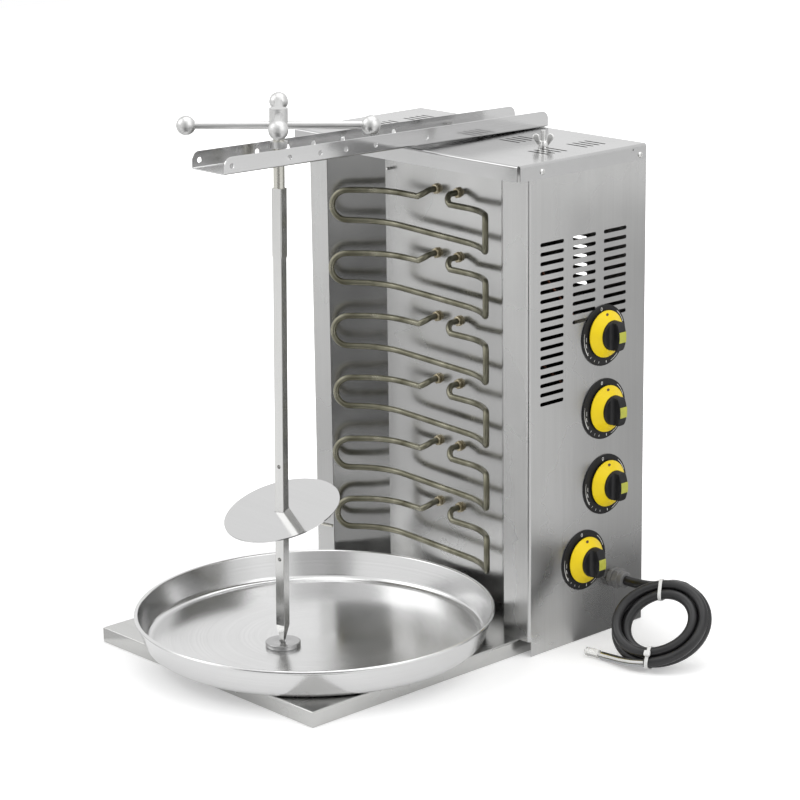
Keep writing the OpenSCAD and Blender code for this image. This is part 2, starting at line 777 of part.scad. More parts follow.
// The cord's free stretch: out of the gland, up behind the coil and into its outermost turn
lead_path = concat(
    [[235, 155.5, 72], [247, 155.5, 72.2], [258, 156, 72.8], [269, 157.5, 73.4], [280, 159.5, 74.8],
     [291, 161, 77.4], [302, 161.8, 81], [314, 161.3, 84.6]],
    [coil_first - 4 * coil_in, coil_first]);

// Least distance between stretches of the coil that are over half a turn apart, less its thickness
fine = [for (i = [0:4 * coil_rings]) coil_flat(coil_full * i / (4 * coil_rings))];
least = min([for (i = [0:2:len(fine) - 1], j = [i + 50:1:len(fine) - 1]) norm(fine[i] - fine[j])]);
coil_length = sum([for (i = [1:len(coil_path) - 1]) norm(coil_path[i] - coil_path[i - 1])]);
echo(least_gap_in_coil = least - cord_d, coil_length = coil_length);

module cord_lead() { color(black) tube(lead_path, cord_d / 2, 8); }

module cord_coil() { color(black) tube(coil_path, cord_d / 2, 6); }

// Puts its children at angle a of the coil, +x outwards, +z up through its layers
module at_coil(a) {
    translate(coil_at) rotate([0, 0, coil_turn]) rotate([coil_lean, 0, 0]) rotate(a) children();
}

tie_w = 4.4;
tie_t = 1.2;
tie_gap = 0.6;
// Angles of the two ties; the second one shows its lock
ties = [95, -91];
tie_lock = [7, 8, 5];

// Strands that cross angle a of the coil, as [radius, layer]
function strands_at(a) = [for (k = [0:coil_turns]) let (f = coil_start - a + 360 * k)
    if (f > -3 && f < coil_full + 3) [coil_radius(f), coil_layer(f)]];

// The outline that holds those strands, at distance g
module round_strands(a, g) {
    hull() for (s = strands_at(a)) translate(s) circle(cord_d / 2 + g, $fn = 32);
}

module cable_ties() {
    color("whitesmoke") {
        for (a = ties) at_coil(a) translate([0, tie_w / 2, 0]) rotate([90, 0, 0])
            linear_extrude(tie_w) difference() {
                round_strands(a, tie_gap + tie_t);
                round_strands(a, tie_gap);
            }
        at_coil(ties[1]) translate([47, -tie_lock[1] / 2,
            (turn_pitch + cord_d) / 2 + tie_gap + tie_t - 0.2]) cube(tie_lock);
    }
}

// Five cores leave the sheath side by side and meet in a clear sleeve
core_r = 1.7;
core_offsets = [[0, 0], [3.6, 1.2], [-3.6, 1.2], [1.9, -3.4], [-1.9, -3.4]];
sleeve_at = [277, 60.5, 6.5];            // where the cores meet it, on the floor
sleeve_way = unit([-1, -0.16, 0]);
sleeve_l = 21;
sleeve_r = 5.6;
function across(way) = unit(cross(way, [0, 0, 1]));
function core_path(o) = let (
    start = coil_last + 0.2 * coil_out + o[0] * across(coil_out) + [0, 0, o[1]],
    end = sleeve_at - 0.6 * sleeve_way + o[0] * across(sleeve_way) + [0, 0, o[1]])
    bezier(start, start + 24 * coil_out, end - 24 * sleeve_way, end, 8);

module wire_ends() {
    for (i = [0:4]) color(["yellowgreen", "black", "lightgray", "saddlebrown", "gray"][i])
        tube(core_path(core_offsets[i]), core_r, 8);
}

module wire_sleeve() {
    color("whitesmoke") tube([sleeve_at, sleeve_at + sleeve_l * sleeve_way], sleeve_r, 12);
}

// ---------------------------------------------------------------- carrier beam

// The channel's own frame: origin at its rear bottom edge, -y to the front
module on_beam() { translate([beam_x, beam_rear, beam_z]) rotate([-beam_lean, 0, 0]) children(); }

module top_beam() {
    color("white") on_beam() difference() {
        intersection() {
            rotate([90, 0, 0]) linear_extrude(beam_l) translate([0, beam_h]) mirror([0, 1])
                folded_u(beam_w, beam_h, beam_t, 2.5);
            rotate([90, 0, 90]) translate([-beam_l / 2, 0, -beam_w]) linear_extrude(2 * beam_w)
                top_round(beam_l, beam_h, flange_corner);
        }
        for (y = flange_holes) translate([-beam_w, -y, beam_h - flange_corner]) rotate([0, 90, 0])
            cylinder(r = flange_hole_r, h = 2 * beam_w);
        translate([rod_hole_at[0], -rod_hole_at[1], -1]) cylinder(r = rod_d / 2 + 0.4, h = 5);
        for (b = beam_bolts_at) translate([0, -b, -1]) cylinder(r = bolt_r + 0.1, h = 5);
    }
}

module beam_bolts() {
    color(dark_steel) on_beam() for (b = beam_bolts_at) translate([0, -b, 0]) {
        translate([0, 0, beam_t]) hex(bolt_af, 5.3);
        translate([0, 0, -14]) cylinder(r = bolt_r, h = 14 + beam_t + eps);
    }
}

module beam_nuts() {
    color(dark_steel) on_beam() for (b = beam_bolts_at) translate([0, -b, -12.6]) difference() {
        hex(bolt_af, 6.5);
        translate([0, 0, -1]) cylinder(r = bolt_r + slip, h = 10);
    }
}

// ---------------------------------------------------------------- skewer

// The skewer's own frame: +z up its leaning axis, heights as over the floor
module on_skewer() {
    translate([tip_x, tip_y, tip_z]) rotate([-lean_back, lean_right, 0])
        translate([0, 0, -tip_z]) children();
}

module skewer_bar() {
    color(steel) on_skewer() rotate(bar_turn) difference() {
        union() {
            translate([0, 0, taper_z]) linear_extrude(bar_top - taper_z) round_square(bar_w, bar_edge_r);
            translate([0, 0, tip_z]) rotate(45)
                cylinder(r1 = tip_w / sqrt(2), r2 = bar_w / sqrt(2), h = taper_z - tip_z, $fn = 4);
        }
        for (z = bar_holes_z) translate([0, through / 2, z]) rotate([90, 0, 0])
            cylinder(r = bar_hole_r, h = through);
        translate([-through / 2, 0, pin_z]) rotate([0, 90, 0]) cylinder(r = bar_hole_r, h = through);
    }
}

module meat_disc() {
    color("white") on_skewer() difference() {
        translate([0, 0, disc_z]) rotate([disc_lean, 0, 0]) translate([0, 0, -disc_t / 2])
            cylinder(d = disc_d, h = disc_t, $fn = 96);
        rotate(bar_turn) translate([-bar_w / 2 - 0.5, -bar_w / 2 - 0.5, disc_z - 20])
            cube([bar_w + 1, bar_w + 1, 40]);
    }
}

module retaining_pin() {
    color(steel) on_skewer() rotate(bar_turn) translate([0, 0, pin_z]) rotate([0, 90 + pin_droop, 0])
        translate([0, 0, pin_ends[0]]) cylinder(r = pin_r, h = pin_ends[1] - pin_ends[0]);
}

module drive_socket() {
    color(steel) on_skewer() rotate(bar_turn) difference() {
        translate([0, 0, socket_z[0]]) linear_extrude(socket_z[1] - socket_z[0])
            round_square(socket_w, socket_edge_r);
        translate([-socket_bore / 2, -socket_bore / 2, socket_z[0] - 1])
            cube([socket_bore, socket_bore, bar_top - socket_z[0] + 5]);
    }
}

module spindle_rod() {
    color(steel) on_skewer() translate([0, 0, rod_bottom]) cylinder(d = rod_d, h = hub_bottom - rod_bottom);
}

module rod_collar() {
    color(steel) on_skewer() translate([0, 0, collar_z[0]]) difference() {
        cylinder(d = 21.5, h = collar_z[1] - collar_z[0]);
        translate([0, 0, -1]) cylinder(r = rod_d / 2 + slip, h = 12);
    }
}

// Puts its children along a handle bar's axis, +z along the bar
module along_bar(z, turn) { translate([0, 0, z]) rotate(turn) rotate([0, 90, 0]) children(); }

module handle_hub() {
    color(dark_steel) on_skewer() difference() {
        translate([0, 0, hub_bottom]) cylinder(d = hub_d, h = hub_top - hub_bottom);
        along_bar(lower_bar_z, lower_bar_turn) cylinder(r = grip_d / 2 + slip, h = 60, center = true);
        along_bar(upper_bar_z, lower_bar_turn + 90) cylinder(r = grip_d / 2 + slip, h = 60, center = true);
    }
}

module handle_bar(z, turn) {
    color(steel) on_skewer() along_bar(z, turn)
        cylinder(d = grip_d, h = 2 * (ball_reach - 4), center = true);
}

module handle_balls() {
    bars = [[lower_bar_z, lower_bar_turn], [upper_bar_z, lower_bar_turn + 90]];
    color(dark_steel) on_skewer() for (b = bars, s = [0, 180])
        along_bar(b[0], b[1] + s) difference() {
            translate([0, 0, ball_reach]) sphere(d = ball_d);
            translate([0, 0, 80]) cylinder(r = grip_d / 2 + slip, h = ball_reach - 80 - 3.8);
        }
}

// ---------------------------------------------------------------- the whole

placed() base_tray();
placed() control_side_panel();
placed() left_side_panel();
placed() back_cover();
placed() rear_reflector();
placed() left_reflector();
placed() right_reflector();
placed() top_cap();
placed() sheet_screws();
placed() heating_element(0);  // heating_element_1
placed() heating_element(1);  // heating_element_2
placed() heating_element(2);  // heating_element_3
placed() heating_element(3);  // heating_element_4
placed() heating_element(4);  // heating_element_5
placed() heating_element(5);  // heating_element_6
placed() element_nuts();
placed() terminal_insulators();
placed() terminal_studs();
placed() neutral_bus_bar();
placed() energy_regulators();
placed() dial_rings();
placed() terminal_block();
placed() inner_wiring();
placed() cable_gland();
placed() gland_cap();
placed() gland_locknut();
placed() wing_stud();
placed() wing_nut();
placed() cord_lead();
placed() cord_coil();
placed() cable_ties();
placed() wire_ends();
placed() wire_sleeve();
placed() top_beam();
placed() beam_bolts();
placed() beam_nuts();
placed() handle_hub();
placed() handle_bar(lower_bar_z, lower_bar_turn);  // handle_bar_lower
placed() handle_bar(upper_bar_z, lower_bar_turn + 90);  // handle_bar_upper
placed() handle_balls();
placed() spindle_rod();
placed() rod_collar();
placed() drive_socket();
placed() skewer_bar();
placed() meat_disc();
placed() retaining_pin();
placed() tip_puck();
placed() drip_pan();
placed() knob_skirt(0);  // knob_skirt_1
placed() knob_skirt(1);  // knob_skirt_2
placed() knob_skirt(2);  // knob_skirt_3
placed() knob_skirt(3);  // knob_skirt_4
placed() knob_grip(0);  // knob_grip_1
placed() knob_grip(1);  // knob_grip_2
placed() knob_grip(2);  // knob_grip_3
placed() knob_grip(3);  // knob_grip_4
placed() regulator_shaft(0);  // regulator_shaft_1
placed() regulator_shaft(1);  // regulator_shaft_2
placed() regulator_shaft(2);  // regulator_shaft_3
placed() regulator_shaft(3);  // regulator_shaft_4
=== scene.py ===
# %% [markdown]
# # An electric skewer grill
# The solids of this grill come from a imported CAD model: folded stainless sheets, tube heaters,
# a channel that carries a square skewer, a spun pan, four dials and a coiled cord.
# Blender keeps every solid where it is. It adds finishes, and it swaps the plain stand-ins,
# such as the cord and the knobs, for finer meshes in the same place.

# %% Load the frame
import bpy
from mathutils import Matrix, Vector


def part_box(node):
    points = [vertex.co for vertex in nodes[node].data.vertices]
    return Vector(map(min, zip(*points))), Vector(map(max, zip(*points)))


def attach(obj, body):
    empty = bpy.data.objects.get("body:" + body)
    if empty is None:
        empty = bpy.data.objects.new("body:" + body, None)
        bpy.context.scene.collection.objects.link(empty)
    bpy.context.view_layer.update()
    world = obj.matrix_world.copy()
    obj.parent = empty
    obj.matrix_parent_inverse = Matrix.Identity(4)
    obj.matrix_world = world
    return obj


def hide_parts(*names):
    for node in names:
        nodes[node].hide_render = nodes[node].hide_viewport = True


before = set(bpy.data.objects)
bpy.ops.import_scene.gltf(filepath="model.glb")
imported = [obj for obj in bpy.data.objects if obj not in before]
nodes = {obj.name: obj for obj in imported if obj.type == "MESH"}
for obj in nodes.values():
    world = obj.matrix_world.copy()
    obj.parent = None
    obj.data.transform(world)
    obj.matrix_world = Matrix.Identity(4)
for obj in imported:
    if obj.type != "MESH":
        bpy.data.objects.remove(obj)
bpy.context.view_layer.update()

# %% [markdown]
# ## Units and one common frame
# Blender works in metres. The grill was drawn with x = 0 on the skewer's plane, y = 0 on the
# face of the right-hand front flange and z = 0 on the floor, so sizes are easy to read there.
# The control panel's box tells where that drawing frame lies, so nothing is placed by eye.

# %% Drawing frame
import math

import bmesh
import bpy
import numpy as np
from mathutils import Matrix

MM = 0.001
PANEL_X = 210 * MM                       # outer face of the control panel, from the skewer
panel_low, panel_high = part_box("control_side_panel")
drawing_origin = np.array([panel_high.x - PANEL_X, panel_low.y, 0.0])


def unit(v):
    """The vectors divided by their own lengths."""
    return v / np.linalg.norm(v, axis=-1, keepdims=True)


def mm(*values):
    """A point or list of points in millimetres, as metres."""
    return np.array(values, float) * MM


print("drawing frame starts at", drawing_origin.round(4))

# %% [markdown]
# ## Camera
# A long lens far away keeps the uprights nearly parallel, as a product photographer does.
# The camera looks to the grill's back left corner, from its front right, a little from above.
# Its direction is built from three angles, and its axes are written straight into the matrix.

# %% Camera
AZIMUTH, ELEVATION, ROLL = (math.radians(a) for a in (47.30, 15.34, -0.76))
CAMERA_AT = drawing_origin + [2.4518, -2.2873, 1.2215]
LENS, SENSOR = 119.85, 36.0

ahead = np.array([-math.sin(AZIMUTH) * math.cos(ELEVATION),
                  math.cos(AZIMUTH) * math.cos(ELEVATION), -math.sin(ELEVATION)])
level = np.array([math.cos(AZIMUTH), math.sin(AZIMUTH), 0.0])
above = np.cross(level, ahead)
camera_right = level * math.cos(ROLL) + above * math.sin(ROLL)
camera_up = above * math.cos(ROLL) - level * math.sin(ROLL)

camera = bpy.data.objects.new("camera", bpy.data.cameras.new("camera"))
bpy.context.scene.collection.objects.link(camera)
camera.data.lens, camera.data.sensor_width = LENS, SENSOR
camera.data.clip_end = 50
pose = np.eye(4)
pose[:3, 0], pose[:3, 1], pose[:3, 2], pose[:3, 3] = camera_right, camera_up, -ahead, CAMERA_AT
camera.matrix_world = Matrix(pose.tolist())
bpy.context.scene.camera = camera
print("camera looks along", ahead.round(3))

# %% [markdown]
# ## From grids of points to meshes
# Most shapes here are surfaces with two parameters: once along and once around. If numpy gives
# the points as a grid, the faces follow from the grid alone, and a tube, a turned part and a
# knob all use the same few lines. Doubles are merged afterwards, which closes seams and poles.

# %% Grid helpers
def grid_faces(rows, columns, close_rows, close_columns):
    """Four corners for each cell: a point, its right neighbour, and the two in the next row."""
    r, c = np.meshgrid(np.arange(rows if close_rows else rows - 1),
                       np.arange(columns if close_columns else columns - 1), indexing="ij")
    right, below = (c + 1) % columns, (r + 1) % rows
    corners = [r * columns + c, r * columns + right, below * columns + right, below * columns + c]
    return np.stack(corners, -1).reshape(-1, 4)


def piece(name, grids, finish, body, replaces=(), sharp=35, run=None):
    """One mesh from grids of points in the drawing frame; a grid is (points, rows closed,
    columns closed). run holds, for each point, a place along and around, for patterns."""
    vertices, faces, count = [], [], 0
    for points, close_rows, close_columns in grids:
        rows, columns = points.shape[:2]
        faces.append(grid_faces(rows, columns, close_rows, close_columns) + count)
        vertices.append(points.reshape(-1, 3))
        count += rows * columns
    mesh = bpy.data.meshes.new(name)
    mesh.from_pydata(np.concatenate(vertices) + drawing_origin, [], np.concatenate(faces).tolist())
    if run is not None:
        mesh.attributes.new("run", "FLOAT_VECTOR", "POINT").data.foreach_set("vector", run.ravel())
    bm = bmesh.new()
    bm.from_mesh(mesh)
    bmesh.ops.remove_doubles(bm, verts=bm.verts, dist=0.002 * MM)
    bmesh.ops.recalc_face_normals(bm, faces=bm.faces)
    bm.to_mesh(mesh)
    bm.free()
    mesh.shade_smooth()
    mesh.set_sharp_from_angle(angle=math.radians(sharp))
    made = bpy.data.objects.new(name, mesh)
    bpy.context.scene.collection.objects.link(made)
    made.data.materials.append(finish)
    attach(made, body)
    if replaces:
        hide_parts(*replaces)
    print(f"{name}: {len(mesh.polygons)} faces on {body}")
    return made


def frames_along(path):
    """Direction of a path at its points, and two square vectors carried along without twist:
    each side vector is the last one less its part along the new direction."""
    forward = unit(np.gradient(path, axis=0))
    side = np.zeros_like(path)
    side[0] = unit(np.cross(forward[0], [0, 0, 1] if abs(forward[0][2]) < 0.9 else [1, 0, 0]))
    for i in range(1, len(path)):
        side[i] = unit(side[i - 1] - side[i - 1] @ forward[i] * forward[i])
    return forward, side, np.cross(forward, side)


def tube(path, radius, sides=24, edge=0.0004):
    """A circle of that radius carried along a path: point + r (cos a side + sin a up). Rings
    that shrink by a quarter circle round the two ends, and a ring of radius 0 closes them."""
    forward, side, up = frames_along(path)
    turn = np.radians([0, 30, 60])
    reach, shrink = edge * (1 - np.cos(turn)), edge * (1 - np.sin(turn))
    centre = np.concatenate([path[:1], path[0] + np.outer(reach, forward[0]), path[1:-1],
                             (path[-1] - np.outer(reach, forward[-1]))[::-1], path[-1:]])
    pick = np.r_[0, [0] * 3, 1:len(path) - 1, [len(path) - 1] * 4]
    r = np.r_[0, radius - shrink, np.full(len(path) - 2, radius), (radius - shrink)[::-1], 0]
    a = np.linspace(0, 2 * np.pi, sides, endpoint=False)[None, :, None]
    ring = np.cos(a) * side[pick][:, None] + np.sin(a) * up[pick][:, None]
    return centre[:, None] + r[:, None, None] * ring, False, True


def run_of(grid, radius):
    """Place along the tube, and the cosine and sine of the angle round it, times the radius."""
    centre = grid.mean(1)
    along = np.r_[0, np.cumsum(np.linalg.norm(np.diff(centre, axis=0), axis=1))]
    a = np.linspace(0, 2 * np.pi, grid.shape[1], endpoint=False)
    rows = np.broadcast_to(along[:, None], grid.shape[:2])
    return np.stack([rows, rows * 0 + radius * np.cos(a), rows * 0 + radius * np.sin(a)], -1)


def turned(profile, sides=96):
    """Surface of revolution: each [r, z] of the profile becomes (r cos a, r sin a, z)."""
    a = np.linspace(0, 2 * np.pi, sides, endpoint=False)
    r, z = profile[:, :1], profile[:, 1:]
    return np.stack([r * np.cos(a), r * np.sin(a), z + 0 * a], -1)


def corner(centre, radius, start, stop, steps=5):
    """Points of a round corner: centre + r (cos a, sin a), in the profile's plane."""
    a = np.radians(np.linspace(start, stop, steps))
    return np.array(centre) + radius * np.stack([np.cos(a), np.sin(a)], -1)


def moved(points, origin, x_axis, y_axis, z_axis):
    """Local points put on three axes and an origin."""
    return points @ np.array([x_axis, y_axis, z_axis], float) + np.array(origin, float)


# %% [markdown]
# ## Shared effects
# Brushed sheet, turned rings and handling haze show on many pieces, so each is a node group
# with named sockets. A group only gives masks and a normal. Each material keeps its own
# Principled BSDF and sets its plain numbers there. All patterns use Object coordinates, which
# are metres here, so a grain has the same size on every piece.

# %% Node helpers
def link(tree, source, target):
    """Joins an output socket to an input socket."""
    tree.links.new(source, target)


def node(tree, kind, **inputs):
    """A new node; a keyword sets the input of that name, or links it when given a socket."""
    made = tree.nodes.new(kind)
    for key, value in inputs.items():
        socket = made.inputs[int(key[1:])] if key[0] == "i" and key[1:].isdigit() \
            else made.inputs[key.replace("_", " ")]
        if isinstance(value, bpy.types.NodeSocket):
            link(tree, value, socket)
        else:
            socket.default_value = value
    return made


def maths(tree, operation, *values):
    """The result of a Math node on numbers or sockets."""
    made = tree.nodes.new("ShaderNodeMath")
    made.operation = operation
    for socket, value in zip(made.inputs, values):
        if isinstance(value, bpy.types.NodeSocket):
            link(tree, value, socket)
        else:
            socket.default_value = value
    return made.outputs[0]


def group(name, inputs, outputs):
    """An empty shader node group with the given sockets; inputs is {name: (kind, value)}."""
    tree = bpy.data.node_groups.new(name, "ShaderNodeTree")
    for key, (kind, value) in inputs.items():
        socket = tree.interface.new_socket(key, in_out="INPUT", socket_type=kind)
        if value is not None:
            socket.default_value = value
    for key, kind in outputs.items():
        tree.interface.new_socket(key, in_out="OUTPUT", socket_type=kind)
    return tree, tree.nodes.new("NodeGroupInput").outputs, tree.nodes.new("NodeGroupOutput").inputs


def range_of(tree, value, low, high, start=0.0, stop=1.0):
    """A value mapped straight from start..stop to low..high, and held there."""
    return node(tree, "ShaderNodeMapRange", Value=value, From_Min=start, From_Max=stop,
                To_Min=low, To_Max=high).outputs[0]


FLOAT, VECTOR = "NodeSocketFloat", "NodeSocketVector"

# %% Brushed grain group
grain, g_in, g_out = group(
    "brushed_grain",
    {"Vector": (VECTOR, None), "Along": (VECTOR, (1, 1, 0.02)), "Fineness": (FLOAT, 900.0),
     "Depth": (FLOAT, 0.1), "Haze Size": (FLOAT, 9.0)},
    {"Streaks": FLOAT, "Haze": FLOAT, "Normal": VECTOR})
stretched = node(grain, "ShaderNodeVectorMath", i0=g_in["Vector"], i1=g_in["Along"])
stretched.operation = "MULTIPLY"
fine = node(grain, "ShaderNodeTexNoise", Vector=stretched.outputs[0], Scale=g_in["Fineness"],
            Detail=3.0, Roughness=0.6)
broad = node(grain, "ShaderNodeTexNoise", Vector=stretched.outputs[0],
             Scale=maths(grain, "MULTIPLY", g_in["Fineness"], 0.06), Detail=2.0)
haze = node(grain, "ShaderNodeTexNoise", Vector=g_in["Vector"], Scale=g_in["Haze Size"],
            Detail=3.0, Roughness=0.5)
streaks = maths(grain, "ADD", maths(grain, "MULTIPLY", fine.outputs[0], 0.6),
                maths(grain, "MULTIPLY", broad.outputs[0], 0.4))
bumped = node(grain, "ShaderNodeBump", Strength=g_in["Depth"], Distance=0.00004,
              Height=fine.outputs[0])
link(grain, streaks, g_out["Streaks"])
link(grain, range_of(grain, haze.outputs[0], 0, 1, 0.35, 0.68), g_out["Haze"])
link(grain, bumped.outputs[0], g_out["Normal"])
print("group:", grain.name)

# %% Turned rings group
rings, r_in, r_out = group(
    "turned_rings",
    {"Vector": (VECTOR, None), "Fineness": (FLOAT, 1400.0), "Depth": (FLOAT, 0.1)},
    {"Rings": FLOAT, "Haze": FLOAT, "Around": VECTOR, "Normal": VECTOR})
flat_place = node(rings, "ShaderNodeVectorMath", i0=r_in["Vector"], i1=(1, 1, 0))
flat_place.operation = "MULTIPLY"
radius_of = node(rings, "ShaderNodeVectorMath", i0=flat_place.outputs[0])
radius_of.operation = "LENGTH"
height_of = node(rings, "ShaderNodeSeparateXYZ", Vector=r_in["Vector"])
ring_place = node(rings, "ShaderNodeCombineXYZ", X=radius_of.outputs["Value"],
                  Y=height_of.outputs["Z"])
ring_noise = node(rings, "ShaderNodeTexNoise", Vector=ring_place.outputs[0],
                  Scale=r_in["Fineness"], Detail=3.0, Roughness=0.65)
ring_haze = node(rings, "ShaderNodeTexNoise", Vector=r_in["Vector"], Scale=7.0, Detail=3.0)
around = node(rings, "ShaderNodeVectorMath", i0=(0, 0, 1), i1=flat_place.outputs[0])
around.operation = "CROSS_PRODUCT"
ring_bump = node(rings, "ShaderNodeBump", Strength=r_in["Depth"], Distance=0.00004,
                 Height=ring_noise.outputs[0])
link(rings, ring_noise.outputs[0], r_out["Rings"])
link(rings, range_of(rings, ring_haze.outputs[0], 0, 1, 0.35, 0.68), r_out["Haze"])
link(rings, around.outputs[0], r_out["Around"])
link(rings, ring_bump.outputs[0], r_out["Normal"])
print("group:", rings.name)

# %% Moulded surface group
moulded, m_in, m_out = group(
    "moulded_surface",
    {"Vector": (VECTOR, None), "Grain": (FLOAT, 1500.0), "Depth": (FLOAT, 0.2)},
    {"Wear": FLOAT, "Normal": VECTOR})
pores = node(moulded, "ShaderNodeTexNoise", Vector=m_in["Vector"], Scale=m_in["Grain"], Detail=2.0)
wear = node(moulded, "ShaderNodeTexNoise", Vector=m_in["Vector"], Scale=60.0, Detail=5.0,
            Roughness=0.7)
pore_bump = node(moulded, "ShaderNodeBump", Strength=m_in["Depth"], Distance=0.00006,
                 Height=pores.outputs[0])
link(moulded, range_of(moulded, wear.outputs[0], 0, 1, 0.4, 0.75), m_out["Wear"])
link(moulded, pore_bump.outputs[0], m_out["Normal"])
print("group:", moulded.name)


# %% Material helpers
def blank_material(name, colour, metallic, roughness):
    """A material with one Principled BSDF; returns its tree and the shader."""
    made = bpy.data.materials.new(name)
    made.use_nodes = True
    tree = made.node_tree
    shader = tree.nodes["Principled BSDF"]
    shader.inputs["Base Color"].default_value = (*colour, 1)
    shader.inputs["Metallic"].default_value = metallic
    shader.inputs["Roughness"].default_value = roughness
    made.diffuse_color = (*colour, 1)
    return made, tree, shader


def mixed(tree, mask, dark, light):
    """A colour between two, by a mask."""
    made = tree.nodes.new("ShaderNodeMix")
    made.data_type = "RGBA"
    link(tree, mask, made.inputs[0])
    made.inputs[6].default_value, made.inputs[7].default_value = (*dark, 1), (*light, 1)
    return made.outputs[2]


def use_group(tree, shared, **inputs):
    """Places a shared group in a material and sets its inputs."""
    made = tree.nodes.new("ShaderNodeGroup")
    made.node_tree = shared
    for key, value in inputs.items():
        socket = made.inputs[key.replace("_", " ")]
        if isinstance(value, bpy.types.NodeSocket):
            link(tree, value, socket)
        else:
            socket.default_value = value
    return made.outputs


def object_place(tree, centre=(0, 0, 0)):
    """Object coordinates, measured from a centre."""
    place = tree.nodes.new("ShaderNodeTexCoord")
    mapping = node(tree, "ShaderNodeMapping", Vector=place.outputs["Object"], Location=centre)
    mapping.vector_type = "TEXTURE"
    return mapping.outputs[0]


def run_place(tree):
    """The place along and around that a swept piece carries in its own attribute."""
    made = tree.nodes.new("ShaderNodeAttribute")
    made.attribute_name = "run"
    return made.outputs["Vector"]


def patterned(name, colour, rough, shared, place, shades, masks=("Wear", "Wear"), metallic=0.0,
              specular=0.5, **settings):
    """A material on a shared group: one mask shades the colour, one the gloss, and the group's
    normal roughens the surface. rough is the gloss at the ends of its mask."""
    made, tree, shader = blank_material(name, colour, metallic, rough[0])
    shader.inputs["Specular IOR Level"].default_value = specular
    out = use_group(tree, shared, Vector=place(tree), **settings)
    link(tree, mixed(tree, out[masks[0]], *shades), shader.inputs["Base Color"])
    link(tree, range_of(tree, out[masks[1]], *rough), shader.inputs["Roughness"])
    link(tree, out["Normal"], shader.inputs["Normal"])
    return made, tree, shader, out


def shades_of(colour, contrast):
    """The same colour darker and lighter by a share."""
    return [np.clip(np.array(colour) * f, 0, 1) for f in (1 - contrast, 1 + contrast)]


def brushed(name, colour, rough, along, fineness=900.0, depth=0.1, contrast=0.12, haze_size=9.0):
    """Brushed stainless sheet: streaks shade the colour a little, haze changes the gloss."""
    return patterned(name, colour, rough, grain, object_place, shades_of(colour, contrast),
                     ("Streaks", "Haze"), 1.0, Along=along, Fineness=fineness, Depth=depth,
                     Haze_Size=haze_size)[0]


def turned_metal(name, colour, rough, centre, contrast=0.1, anisotropic=0.0):
    """Lathe-turned or spun metal: rings about an upright axis through centre."""
    made, tree, shader, out = patterned(
        name, colour, rough, rings, lambda tree: object_place(tree, centre),
        shades_of(colour, contrast), ("Rings", "Haze"), 1.0)
    if anisotropic:
        shader.inputs["Anisotropic"].default_value = anisotropic
        link(tree, out["Around"], shader.inputs["Tangent"])
    return made


def moulding(name, colour, rough, worn, specular=0.5):
    """Moulded plastic: fine pores, and a little more light and gloss where hands touch it."""
    return patterned(name, colour, rough, moulded, object_place, (colour, worn),
                     specular=specular)[0]


def dress(finish, *names):
    """Gives a finish to CAD nodes that stay as they are."""
    for name in names:
        held = nodes[name].data.materials
        for i in range(len(held)):
            held[i] = finish
        if not held:
            held.append(finish)
    print(f"{finish.name}: {', '.join(names)}")


# %% [markdown]
# ## Cord
# The rubber cord leaves the gland, passes behind a coil of three and a half turns that leans
# on the floor, and ends in five bare-ended cores in a clear sleeve. Its route is the drawing's
# own: a few listed points, then loops that spiral in, climb one layer and spiral out again.

# %% Cord route
CORD_D = 12.6 * MM
TURN_PITCH = 13.4 * MM                   # side by side, and layer to layer
COIL_R, COIL_OVAL = 60 * MM, 0.06
COIL_LEAN, COIL_TURN, OVAL_TURN = math.radians(45), math.radians(26.5), math.radians(28)
COIL_START, COIL_END, COIL_TURNS = 62, -93, 3
COIL_LOW = 2 * MM                        # the turns' least height over the floor
CLIMB = 180                              # degrees of cord that change layer
COIL_FULL = COIL_START - COIL_END + 360 * COIL_TURNS
GLAND_AT = mm(210, 155.5, 72)


def coil_flat(f):
    """Piled loops at f degrees of cord: an oval whose radius falls by a pitch a turn up to the
    middle and grows again. The layer climbs by half a cosine wave about the middle."""
    a = np.radians(COIL_START - f)
    radius = COIL_R * (1 + COIL_OVAL * np.cos(2 * (a - OVAL_TURN))) \
        - TURN_PITCH * (COIL_FULL / 2 - np.abs(f - COIL_FULL / 2)) / 360
    t = np.clip((f - COIL_FULL / 2 + CLIMB / 2) / CLIMB, 0, 1)
    layer = -TURN_PITCH / 2 + TURN_PITCH * (0.5 - 0.5 * np.cos(np.pi * t))
    return np.stack([radius * np.cos(a), radius * np.sin(a), layer], -1)


def leant(p):
    """Points of the coil's own plane, leant back about x."""
    return np.stack([p[:, 0], p[:, 1] * math.cos(COIL_LEAN) - p[:, 2] * math.sin(COIL_LEAN),
                     p[:, 1] * math.sin(COIL_LEAN) + p[:, 2] * math.cos(COIL_LEAN)], -1)


COIL_AT = mm(331.8, 109.3, 0) + [0, 0, COIL_LOW + CORD_D / 2
                                 - leant(coil_flat(np.arange(0, COIL_FULL, 5.0)))[:, 2].min()]


def coil_place(p):
    """Points of the coil's own plane, leant back, turned about z and set in place."""
    c, s = math.cos(COIL_TURN), math.sin(COIL_TURN)
    return leant(p) @ np.array([[c, s, 0], [-s, c, 0], [0, 0, 1]]) + COIL_AT


loops = coil_place(coil_flat(np.linspace(0, COIL_FULL, 240)))
coil_in, coil_out = unit(loops[1] - loops[0]), unit(loops[-1] - loops[-2])
coil_first, coil_last = loops[0] - 4 * MM * coil_in, loops[-1] + 2 * MM * coil_out
lead = np.concatenate([
    mm([235, 155.5, 72], [247, 155.5, 72.2], [258, 156, 72.8], [269, 157.5, 73.4],
       [280, 159.5, 74.8], [291, 161, 77.4], [302, 161.8, 81], [314, 161.3, 84.6]),
    [coil_first - 4 * MM * coil_in, coil_first]])


